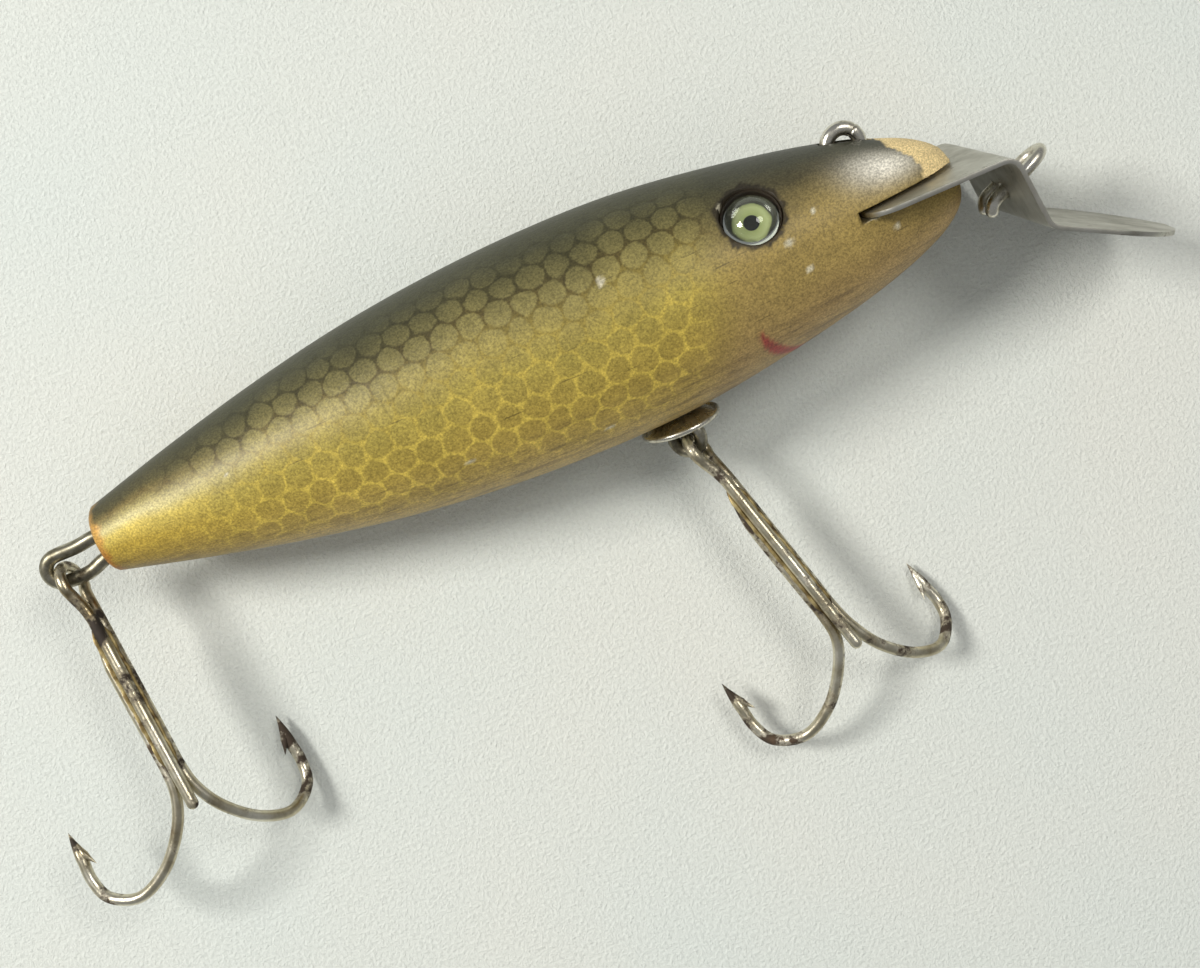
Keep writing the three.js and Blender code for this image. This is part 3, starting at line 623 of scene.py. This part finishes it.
line = lip_line()
gone = np.concatenate([[0], np.cumsum(np.linalg.norm(np.diff(line, axis=0), axis=1))])
nose_part = np.sin(np.linspace(0, math.pi / 2, 26)) * (LIP_NOSE_LENGTH + 1.0)
stations = np.concatenate([
    np.linspace(0, LIP_CORNER, 10), np.linspace(LIP_CORNER, gone[-1] - LIP_NOSE_LENGTH - 1.0, 60)[1:],
    (gone[-1] - LIP_NOSE_LENGTH - 1.0 + nose_part)[1:]])
ACROSS = 36
sheet = []
for station in stations:
    px = np.interp(station, gone, line[:, 0])
    pz = np.interp(station, gone, line[:, 1])
    width = lip_half_width(px, line[-1, 0])
    for place in np.linspace(-1, 1, ACROSS):
        dish = 0.10 * math.cos(place * math.pi / 2) * fade(station, 24, 34)
        sheet.append((px, place * width, pz + float(dish)))
faces = [(i * ACROSS + j, i * ACROSS + j + 1, (i + 1) * ACROSS + j + 1, (i + 1) * ACROSS + j)
         for i in range(len(stations) - 1) for j in range(ACROSS - 1)]
lip = make_piece("plated_lip", (np.array(sheet), faces), fish)
wall = lip.modifiers.new("sheet", "SOLIDIFY")
wall.thickness = 0.8 * LIP_SHEET * MM
wall.offset = 0
edge = lip.modifiers.new("edge", "BEVEL")
edge.width = 0.11 * MM
edge.segments = 2
edge.limit_method = "ANGLE"
edge.angle_limit = math.radians(60)
applied(lip)
holes = [bar((HEAD_EYE_X, 0, -3), (HEAD_EYE_X, 0, 5), PILOT_RADIUS, 24)]
for side in (1, -1):
    leg = tie_leg(side)
    holes.append(bar(leg[1], leg[2], TIE_WIRE / 2 + 0.18, 24))
cut(lip, holes, fish)

# Old nickel plate: dull grey metal with soft brush lines, cloudy stains of about 4 mm and a few
# brown freckles where the plate has gone.
plate, tree, shader = new_material("old_nickel_plate")
place = node(tree, "ShaderNodeTexCoord").outputs["Object"]
cloud = node(tree, "ShaderNodeTexNoise", {"Vector": place, "Scale": 260.0, "Detail": 5.0, "Roughness": 0.6})
cloud_colour = node(tree, "ShaderNodeValToRGB", {"Fac": cloud.outputs["Fac"]})
set_ramp(cloud_colour, [(0.25, "8b887c"), (0.5, "b4b1a6"), (0.75, "cbc9bf")])
freckle = node(tree, "ShaderNodeTexNoise",
               {"Vector": place, "Scale": 900.0, "Detail": 4.0, "Roughness": 0.7})
freckles = node(tree, "ShaderNodeMapRange", {
    "Value": freckle.outputs["Fac"], "From Min": 0.62, "From Max": 0.70, "To Max": 0.75}).outputs["Result"]
speckled = node(tree, "ShaderNodeMix", {"Factor": freckles, "A": cloud_colour.outputs["Color"],
                                        "B": linear("57452e")}, data_type="RGBA")
tree.links.new(speckled.outputs["Result"], shader.inputs["Base Color"])
dulled = node(tree, "ShaderNodeMapRange", {"Value": cloud.outputs["Fac"], "From Min": 0.25,
                                           "From Max": 0.75, "To Min": 0.5,
                                           "To Max": 0.33}).outputs["Result"]
tree.links.new(dulled, shader.inputs["Roughness"])
shader.inputs["Metallic"].default_value = 1.0
brush_place = node(tree, "ShaderNodeMapping", {"Vector": place, "Rotation": (0.0, 0.0, 0.3),
                                               "Scale": (300.0, 4000.0, 4000.0)}).outputs["Vector"]
brush = node(tree, "ShaderNodeTexNoise", {"Vector": brush_place, "Scale": 1.0, "Detail": 2.0})
relief = node(tree, "ShaderNodeBump",
              {"Height": brush.outputs["Fac"], "Strength": 0.12, "Distance": 0.00004})
waves = node(tree, "ShaderNodeBump", {"Height": cloud.outputs["Fac"], "Strength": 0.25, "Distance": 0.0001,
                                      "Normal": relief.outputs["Normal"]})
tree.links.new(waves.outputs["Normal"], shader.inputs["Normal"])
lip.data.materials.clear()
lip.data.materials.append(plate)
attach(lip, "lure_body")
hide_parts("diving_lip")


# Line tie: one plated wire bent to a loop, its legs put through two holes in the lip's riser
# and clinched over behind it.
def clinch(leg_end):
    return (leg_end[0] - 0.35, leg_end[1] * 0.8, leg_end[2] - 0.75)


left, right = tie_leg(1), tie_leg(-1)
front = (LIP_BEND_X + 0.6 + TIE_REACH, 0, LIP_LEVEL - TIE_DROP + TIE_REACH * TIE_RISE)
tie_points = [clinch(left[2]), left[2], left[1], left[0], (front[0] - 0.7, 0.95, front[2] - 0.3), front,
              (front[0] - 0.7, -0.95, front[2] - 0.3), right[0], right[1], right[2], clinch(right[2])]
tie = make_piece("plated_line_tie", sweep(smooth_path(tie_points, 10), TIE_WIRE / 2, 20), fish)


def weathered_wire(name, grain, tones, stained, dulling, pits):
    """Bare metal wire whose tones, gloss and fine pits all follow one stain pattern."""
    material, tree, shader = new_material(name)
    place = node(tree, "ShaderNodeTexCoord").outputs["Object"]
    stain = node(tree, "ShaderNodeTexNoise",
                 {"Vector": place, "Scale": grain, "Detail": 5.0, "Roughness": 0.65})
    tone = node(tree, "ShaderNodeValToRGB", {"Fac": stain.outputs["Fac"]})
    set_ramp(tone, tones)
    tree.links.new(tone.outputs["Color"], shader.inputs["Base Color"])
    shader.inputs["Metallic"].default_value = 1.0
    dulled = node(tree, "ShaderNodeMapRange", {
        "Value": stain.outputs["Fac"], "From Min": stained[0], "From Max": stained[1],
        "To Min": dulling[0], "To Max": dulling[1]}).outputs["Result"]
    tree.links.new(dulled, shader.inputs["Roughness"])
    relief = node(tree, "ShaderNodeBump",
                  {"Height": stain.outputs["Fac"], "Strength": pits[0], "Distance": pits[1]})
    tree.links.new(relief.outputs["Normal"], shader.inputs["Normal"])
    return material


# Worn bright nickel: shinier than the lip, yellowed, with grime settled in fine pits.
bright = weathered_wire("worn_nickel_wire", 700.0, [(0.3, "80786a"), (0.42, "cbc6b6"), (0.75, "ece8dc")],
                        stained=(0.3, 0.6), dulling=(0.5, 0.2), pits=(0.2, 0.00005))
tie.data.materials.append(bright)
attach(tie, "lure_body")
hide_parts("line_tie")


# Screw eyes of the head and belly: wire turned into a closed ring on a threaded shank. The head's
# ring is half sunk in the wood, and its closing seam shows on the front half.
def screw_eye_shape(ring, wire, shank, seam):
    turns = np.linspace(-math.pi / 2, 1.5 * math.pi, 97)
    ring_path = np.column_stack([ring * np.cos(turns), np.zeros(len(turns)), ring * np.sin(turns)])
    nip = 1 - 0.22 * np.exp(-((turns - seam) / 0.035) ** 2)
    stem_path = np.array([(0, 0, -ring * 0.9 - step) for step in np.linspace(0, shank - ring, 60)])
    thread = wire / 2 * (1 - 0.12 * (1 + np.sin(np.linspace(0, 60, 60))) / 2)
    return join_shapes([sweep(ring_path, wire / 2 * nip, 24), sweep(stem_path, thread, 20)])


HEAD_EYE_RING = 1.6
HEAD_EYE_WIRE = 1.4
HEAD_EYE_SHANK = 9.5
HEAD_EYE_SEAM = math.radians(40)
BELLY_EYE_RING = 1.45
BELLY_EYE_WIRE = 1.3
BELLY_EYE_SHANK = 10
BELLY_EYE_SEAM = math.radians(-60)
BELLY_EYE_TURN = math.radians(31)
head_place = fish @ Matrix.Translation((HEAD_EYE_X, 0, HEAD_EYE_Z))
head_shape = screw_eye_shape(HEAD_EYE_RING, HEAD_EYE_WIRE, HEAD_EYE_SHANK, HEAD_EYE_SEAM)
head_eye = make_piece("head_eye_ring", head_shape, head_place)
head_eye.data.materials.append(bright)
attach(head_eye, "lure_body")
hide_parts("head_screw_eye")
belly_place = (fish @ Matrix.Translation((BELLY_EYE_X, 0, BELLY_EYE_Z)) @ Matrix.Rotation(math.pi, 4, "X")
               @ Matrix.Rotation(BELLY_EYE_TURN, 4, "Z"))
belly_shape = screw_eye_shape(BELLY_EYE_RING, BELLY_EYE_WIRE, BELLY_EYE_SHANK, BELLY_EYE_SEAM)
belly_eye = make_piece("belly_eye_ring", belly_shape, belly_place)

# Tarnished steel wire: grey-brown, with dark stain in patches of about 2 mm.
tarnished = weathered_wire("tarnished_steel_wire", 480.0,
                           [(0.32, "3a3428"), (0.48, "827c69"), (0.7, "bcb7a5")],
                           stained=(0.35, 0.65), dulling=(0.55, 0.25), pits=(0.3, 0.00006))
belly_eye.data.materials.append(tarnished)
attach(belly_eye, "lure_body")
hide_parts("belly_screw_eye")


# Tail screw eye: a longer loop of the same wire, drooping a little, with its end tucked back
# into the mouth of its hole.
TAIL_EYE_X = -4.9
TAIL_EYE_RING = 1.4
TAIL_EYE_DROP = 1.0
loop = [(TAIL_EYE_X + TAIL_EYE_RING * math.cos(turn), 0, TAIL_EYE_RING * math.sin(turn) - TAIL_EYE_DROP)
        for turn in np.linspace(math.pi / 2, 1.5 * math.pi, 9)]
tail_points = [(13, 0, 0), (7, 0, 0), (2.6, 0, 0), (1.2, 0, 0.2), (-0.4, 0, 0.6),
               (-2.6, 0, TAIL_EYE_RING - TAIL_EYE_DROP), *loop, (-2.6, 0, -TAIL_EYE_RING - TAIL_EYE_DROP),
               (-0.9, 0, -1.85), (0.5, 0, -1.45)]
tail_eye = make_piece("tail_eye_loop", sweep(smooth_path(tail_points, 10), HEAD_EYE_WIRE / 2, 24), fish)
tail_eye.data.materials.append(tarnished)
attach(tail_eye, "lure_body")
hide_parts("tail_screw_eye")

# Belly washer: thin plated sheet pressed to a flared cup, its middle seated on the wood and its
# rim standing away from it.
WASHER_TOP = -11.25
WASHER_HOLE = 1.0
section = smooth_path([(WASHER_HOLE, 0), (1.9, 0), (2.6, -0.16), (3.2, -0.45), (3.62, -0.72)], 6)
rolled = [(3.66 + 0.40 * math.sin(t), -0.79 + 0.34 * math.cos(t)) for t in np.linspace(0.6, math.pi, 14)]
turned = [(r, h) for r, h in section] + rolled + [(r, h - 0.3) for r, h in section[::-1]]
WASHER_STEPS = 72
steps = np.linspace(0, 2 * math.pi, WASHER_STEPS, endpoint=False)
places = [(r * math.cos(t), r * math.sin(t), h) for r, h in turned for t in steps]
faces = []
for i in range(len(turned)):
    here = i * WASHER_STEPS
    beyond = (i + 1) % len(turned) * WASHER_STEPS
    for j in range(WASHER_STEPS):
        k = (j + 1) % WASHER_STEPS
        faces.append((here + j, here + k, beyond + k, beyond + j))
washer_place = fish @ Matrix.Translation((BELLY_EYE_X, 0, WASHER_TOP))
washer = make_piece("flared_washer", (np.array(places), faces), washer_place, 60)
washer.data.materials.append(bright)
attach(washer, "lure_body")
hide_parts("belly_washer")

# Glass eyes: a solid dome of clear glass on a wire stem, its back painted with a dark rim, a pale
# yellow-green iris and a small black pupil.
GLASS_RADIUS = 2.6
GLASS_BASE = 7.5
GLASS_BULGE = 2.0

# Clear lampworked glass, fire-polished: the eye gets a wet, almost colourless dome.
clear, tree, shader = new_material("clear_eye_glass")
shader.inputs["Base Color"].default_value = linear("eef2e8")
shader.inputs["Roughness"].default_value = 0.03
shader.inputs["IOR"].default_value = 1.5
shader.inputs["Specular IOR Level"].default_value = 0.3
shader.inputs["Transmission Weight"].default_value = 1.0

# Iris enamel brushed on the glass's back: pale green middle, dark olive ring, uneven edges.
fired, tree, shader = new_material("painted_iris")
radius_at = node(tree, "ShaderNodeAttribute", attribute_name="radius").outputs["Fac"]
iris_noise = node(tree, "ShaderNodeTexNoise", {"Vector": node(tree, "ShaderNodeTexCoord").outputs["Object"],
                                               "Scale": 1400.0, "Detail": 3.0})
iris_edge = node(tree, "ShaderNodeMath", {0: iris_noise.outputs["Fac"], 1: 0.12, 2: radius_at},
                 operation="MULTIPLY_ADD").outputs[0]
iris_colour = node(tree, "ShaderNodeValToRGB", {"Fac": iris_edge})
set_ramp(iris_colour, [(0.30, "aeb47c"), (0.50, "c6cb98"), (0.58, "a9ae7a"),
                       (0.62, "2d2b1c"), (0.98, "4a4834"), (1.0, "2a2114")])
tree.links.new(iris_colour.outputs["Color"], shader.inputs["Base Color"])
shader.inputs["Roughness"].default_value = 0.5

# Pupil enamel, one dull black dot put on with a stick and faintly uneven.
ink, tree, shader = new_material("black_pupil_paint")
ink_noise = node(tree, "ShaderNodeTexNoise", {"Vector": node(tree, "ShaderNodeTexCoord").outputs["Object"],
                                              "Scale": 2000.0, "Detail": 2.0})
ink_colour = node(tree, "ShaderNodeValToRGB", {"Fac": ink_noise.outputs["Fac"]})
set_ramp(ink_colour, [(0.3, "0b0a08"), (0.7, "1a1712")])
tree.links.new(ink_colour.outputs["Color"], shader.inputs["Base Color"])
shader.inputs["Roughness"].default_value = 0.6


def turned_on_z(profile, steps):
    places, faces = lathe(profile, steps)
    return places[:, [1, 2, 0]], faces


for side, label in ((-1, "right"), (1, "left")):
    direction = Vector((0, side * math.cos(GLASS_LIFT), math.sin(GLASS_LIFT)))
    looking = direction.to_track_quat("Z", "Y").to_matrix().to_4x4()
    seat = fish @ Matrix.Translation(Vector(eye_axis(side, GLASS_BASE))) @ looking
    dome_profile = [(0.0, 0.0), (0.0, 1.2), (0.0, GLASS_RADIUS - 0.12), (0.1, GLASS_RADIUS)]
    dome_profile += [(0.3 + GLASS_BULGE * math.sin(t), GLASS_RADIUS * math.cos(t))
                     for t in np.linspace(0.05, 1.5, 26)]
    dome_profile.append((2.3, 0.0))
    dome = make_piece(f"{label}_glass_dome", turned_on_z(dome_profile, 64), seat, 60)
    dome.data.materials.append(clear)
    disc_profile = [(-0.35, 0.0), (-0.35, 2.80), (1.15, 2.88), (1.25, 2.79), (1.15, 2.71), (-0.05, 2.64)]
    disc_profile += [(-0.05, r) for r in np.linspace(2.3, 0.8, 16)] + [(-0.12, 0.0)]
    disc = make_piece(f"{label}_painted_iris", turned_on_z(disc_profile, 64), seat, 30)
    flat_places = [seat.inverted() @ v.co for v in disc.data.vertices]
    store(disc.data, "radius", "FLOAT", np.array([math.hypot(p.x, p.y) / 2.5 for p in flat_places]))
    disc.data.materials.append(fired)
    dot_profile = [(-0.10, 0.0), (-0.10, 0.52), (-0.04, 0.56), (-0.02, 0.52), (-0.02, 0.0)]
    dot = make_piece(f"{label}_black_pupil", turned_on_z(dot_profile, 40), seat, 30)
    dot.data.materials.append(ink)
    eye_parts = ((dome, "eye_glass", "glass"), (disc, "eye_paint", "iris"), (dot, "eye_pupil", "pupil"))
    for piece, slot, part in eye_parts:
        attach(piece, "lure_body")
        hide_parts(f"{label}_eye_{part}")
    stem = frame["nodes"][f"{label}_eye_stem"]
    stem.data.materials.clear()
    stem.data.materials.append(tarnished)

# Treble hooks: one wire bent double makes the eye, the clipped stub and the front point, and a
# third wire brazed to it makes the rear point. Both were plated once and have rusted in patches.
HOOK_WIRE = 1.15
HOOK_EYE_RADIUS = 1.75
HOOK_THROAT = 4.2
HOOK_SPLIT = 20.3
PITCH_CIRCLE = 0.76
STUB_END = 24.2
POINT_LENGTH = 3.2
STUB_ANGLE, FRONT_ANGLE, REAR_ANGLE = 90, -30, 210

# Nickelled steel hook wire, drawn, plated and then rusted: bright runs between brown patches of
# about 3 mm, rustier towards the points.
rusty, tree, shader = new_material("rusted_hook_wire")
place = node(tree, "ShaderNodeTexCoord").outputs["Object"]
metal_tone = node(tree, "ShaderNodeTexNoise",
                  {"Vector": place, "Scale": 210.0, "Detail": 6.0, "Roughness": 0.65})
metal_colour = node(tree, "ShaderNodeValToRGB", {"Fac": metal_tone.outputs["Fac"]})
set_ramp(metal_colour, [(0.32, "8f7f60"), (0.48, "c2b99f"), (0.68, "e6e1cf")])
rust_tone = node(tree, "ShaderNodeTexNoise",
                 {"Vector": place, "Scale": 300.0, "Detail": 8.0, "Roughness": 0.7})
age_at = node(tree, "ShaderNodeAttribute", attribute_name="age").outputs["Fac"]
aged = node(tree, "ShaderNodeMath", {0: age_at, 1: 0.11, 2: rust_tone.outputs["Fac"]},
            operation="MULTIPLY_ADD").outputs[0]
rust_mask = node(tree, "ShaderNodeMapRange", {"Value": aged, "From Min": 0.54,
                                              "From Max": 0.63}).outputs["Result"]
rust_colour = node(tree, "ShaderNodeValToRGB", {"Fac": metal_tone.outputs["Fac"]})
set_ramp(rust_colour, [(0.3, "29231d"), (0.6, "433629"), (0.8, "6b5238")])
hook_colour = node(tree, "ShaderNodeMix", {"Factor": rust_mask, "A": metal_colour.outputs["Color"],
                                           "B": rust_colour.outputs["Color"]}, data_type="RGBA")
tree.links.new(hook_colour.outputs["Result"], shader.inputs["Base Color"])
plated = node(tree, "ShaderNodeMapRange",
              {"Value": rust_mask, "To Min": 1.0, "To Max": 0.35}).outputs["Result"]
tree.links.new(plated, shader.inputs["Metallic"])
dulled = node(tree, "ShaderNodeMapRange",
              {"Value": rust_mask, "To Min": 0.30, "To Max": 0.72}).outputs["Result"]
tree.links.new(dulled, shader.inputs["Roughness"])
relief = node(tree, "ShaderNodeBump",
              {"Height": rust_tone.outputs["Fac"], "Strength": 0.5, "Distance": 0.00012})
tree.links.new(relief.outputs["Normal"], shader.inputs["Normal"])

# Brass brazing run in while hot and left unpolished: dull yellow-brown with a lumpy skin.
brazed, tree, shader = new_material("dull_braze")
place = node(tree, "ShaderNodeTexCoord").outputs["Object"]
braze_tone = node(tree, "ShaderNodeTexNoise", {"Vector": place, "Scale": 800.0, "Detail": 4.0})
braze_colour = node(tree, "ShaderNodeValToRGB", {"Fac": braze_tone.outputs["Fac"]})
set_ramp(braze_colour, [(0.35, "4a3a24"), (0.5, "85744c"), (0.7, "ab9c70")])
tree.links.new(braze_colour.outputs["Color"], shader.inputs["Base Color"])
shader.inputs["Metallic"].default_value = 0.9
shader.inputs["Roughness"].default_value = 0.5
relief = node(tree, "ShaderNodeBump",
              {"Height": braze_tone.outputs["Fac"], "Strength": 0.4, "Distance": 0.0001})
tree.links.new(relief.outputs["Normal"], shader.inputs["Normal"])


def turned_about_shank(places, degrees):
    """Flat (along, out) places turned to an angle round the shank."""
    turn = math.radians(degrees)
    flat_places = np.asarray(places, float)
    out = flat_places[:, 1]
    return np.column_stack([flat_places[:, 0], out * math.cos(turn), out * math.sin(turn)])


def hook_arm(angle_round, start, reach, bottom, tip):
    """Shank wire, bend, tapered point and barb of one arm."""
    run = bottom - HOOK_SPLIT
    given = [(start, PITCH_CIRCLE - 0.25 * (angle_round == REAR_ANGLE)), (start + 3, PITCH_CIRCLE),
             (HOOK_SPLIT - 3, PITCH_CIRCLE), (HOOK_SPLIT, PITCH_CIRCLE),
             (HOOK_SPLIT + 2.4, PITCH_CIRCLE + 0.35), (HOOK_SPLIT + run * 0.55, reach * 0.2),
             (HOOK_SPLIT + run * 0.87, reach * 0.46), (bottom - 0.15, reach * 0.74),
             (bottom - 1.7, reach * 0.96),
             ((bottom + tip) / 2 + 0.6, reach * 1.01), (tip + POINT_LENGTH, reach)]
    wire = smooth_path(given, 12)
    point = np.array([(tip + POINT_LENGTH * (1 - t), reach) for t in np.linspace(0, 1, 9)[1:]])
    path = np.vstack([wire, point])
    radius = np.full(len(path), HOOK_WIRE / 2)
    if angle_round == REAR_ANGLE:
        radius[:len(wire)] = np.interp(wire[:, 0], [start, start + 3.5], [0.16, HOOK_WIRE / 2])
    radius[len(wire):] = HOOK_WIRE / 2 * (1 - np.linspace(0, 1, 9)[1:] ** 1.5) + 0.02
    barb_root = tip + POINT_LENGTH
    barb = smooth_path([(barb_root - 2.3, reach - 0.10), (barb_root - 0.6, reach - 0.50),
                        (barb_root + 0.7, reach - 1.20)], 6)
    barb_radius = np.interp(np.linspace(0, 1, len(barb)), [0, 0.5, 1], [0.14, 0.38, 0.02])
    return join_shapes([sweep(turned_about_shank(path, angle_round), radius, 20),
                        sweep(turned_about_shank(barb, angle_round), barb_radius, 12)])


def hook_eye_path():
    """Loop from the stub's wire round the eye to the front point's wire."""
    turns = [math.radians(STUB_ANGLE), math.radians(FRONT_ANGLE)]
    first, second = [np.array([math.cos(t), math.sin(t)]) * PITCH_CIRCLE for t in turns]
    middle = (first + second) / 2
    across = (first - second) / np.linalg.norm(first - second)
    half = np.linalg.norm(first - second) / 2

    def point(along, out, sink):
        at = middle * sink + across * out
        return (along, at[0], at[1])

    opening = math.radians(52)
    eye = [point(HOOK_EYE_RADIUS * math.cos(t), HOOK_EYE_RADIUS * math.sin(t), 0)
           for t in np.linspace(opening, 2 * math.pi - opening, 13)]
    return [point(HOOK_THROAT + 0.6, half, 1), point(HOOK_THROAT, half, 1),
            point(HOOK_THROAT - 1.4, half + 0.18, 0.7), *eye,
            point(HOOK_THROAT - 1.4, -half - 0.18, 0.7), point(HOOK_THROAT, -half, 1),
            point(HOOK_THROAT + 0.6, -half, 1)]


def braze_shape():
    """Metal left in the three grooves between the wires, thinning out to a notch at each end."""
    start, end = HOOK_THROAT + 0.4, HOOK_SPLIT + 0.5
    stations = np.linspace(start, end, 40)
    turns = np.linspace(0, 2 * math.pi, 36, endpoint=False)
    places = []
    for station in stations:
        ends = min(1.0, (station - start) / 1.2, (end - station) / 1.8)
        uneven = 1 + 0.05 * math.sin(2.1 * station) + 0.04 * math.sin(5.3 * station)
        for t in turns:
            lobe = max(0.0, math.cos(3 * (t - math.radians(30)))) ** 0.7
            r = 0.24 + 0.80 * lobe * uneven * math.sqrt(max(ends, 0.02))
            places.append((station, r * math.cos(t), r * math.sin(t)))
    rows, steps = len(stations), len(turns)
    faces = [(i * steps + j, i * steps + (j + 1) % steps, (i + 1) * steps + (j + 1) % steps,
              (i + 1) * steps + j) for i in range(rows - 1) for j in range(steps)]
    places += [(start, 0, 0), (end, 0, 0)]
    for j in range(steps):
        k = (j + 1) % steps
        faces.append((rows * steps, k, j))
        faces.append((rows * steps + 1, (rows - 1) * steps + j, (rows - 1) * steps + k))
    return np.array(places), faces


def add_hook(label, eye, shank, up, front_arm, rear_arm):
    along = Vector(shank).normalized()
    side = Vector(up).cross(along).normalized()
    top = along.cross(side)
    axes = Matrix((along, side, top)).transposed().to_4x4()
    hung = laid @ Matrix.Translation(eye) @ axes
    stub_places = turned_about_shank(
        [(along_shank, PITCH_CIRCLE) for along_shank in (HOOK_THROAT + 0.2, 12, HOOK_SPLIT, STUB_END)],
        STUB_ANGLE)
    double = join_shapes([
        sweep(smooth_path(hook_eye_path(), 8), HOOK_WIRE / 2, 20),
        sweep(smooth_path(stub_places, 14), HOOK_WIRE / 2, 20),
        hook_arm(FRONT_ANGLE, HOOK_THROAT + 0.2, **front_arm)])
    third = hook_arm(REAR_ANGLE, HOOK_THROAT + 1.2, **rear_arm)
    pieces = [
        ("eye_stub_and_front_point", double, rusty, "hook_wire", "double_wire"),
        ("rear_point", third, rusty, "hook_wire", "third_wire"),
        ("groove_braze", braze_shape(), brazed, "hook_braze", "braze")]
    for name, shape, material, slot, part in pieces:
        piece = make_piece(f"{label}_hook_{name}", shape, hung, 50)
        to_hook = hung.inverted()
        from_shank = np.array([(to_hook @ v.co).yz.length for v in piece.data.vertices])
        age = np.maximum(fade(from_shank, 8.5, 12.0), 0.35 * (from_shank < 2.4))
        store(piece.data, "age", "FLOAT", age)
        piece.data.materials.append(material)
        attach(piece, f"{label}_hook")
        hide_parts(f"{label}_hook_{part}")


add_hook("belly", (56.2, -14.75, -4.15), (0.267, -0.963, 0.03), (0.14, 0, 0.99),
         {"reach": 12.1, "bottom": 30.6, "tip": 22.2}, {"reach": 13.8, "bottom": 29.0, "tip": 19.8})
add_hook("tail", (-4.57, -2.62, -0.68), (0.101, -0.994, 0.03), (0.306, 0, 0.952),
         {"reach": 12.9, "bottom": 29.9, "tip": 20.7}, {"reach": 13.4, "bottom": 29.9, "tip": 20.9})
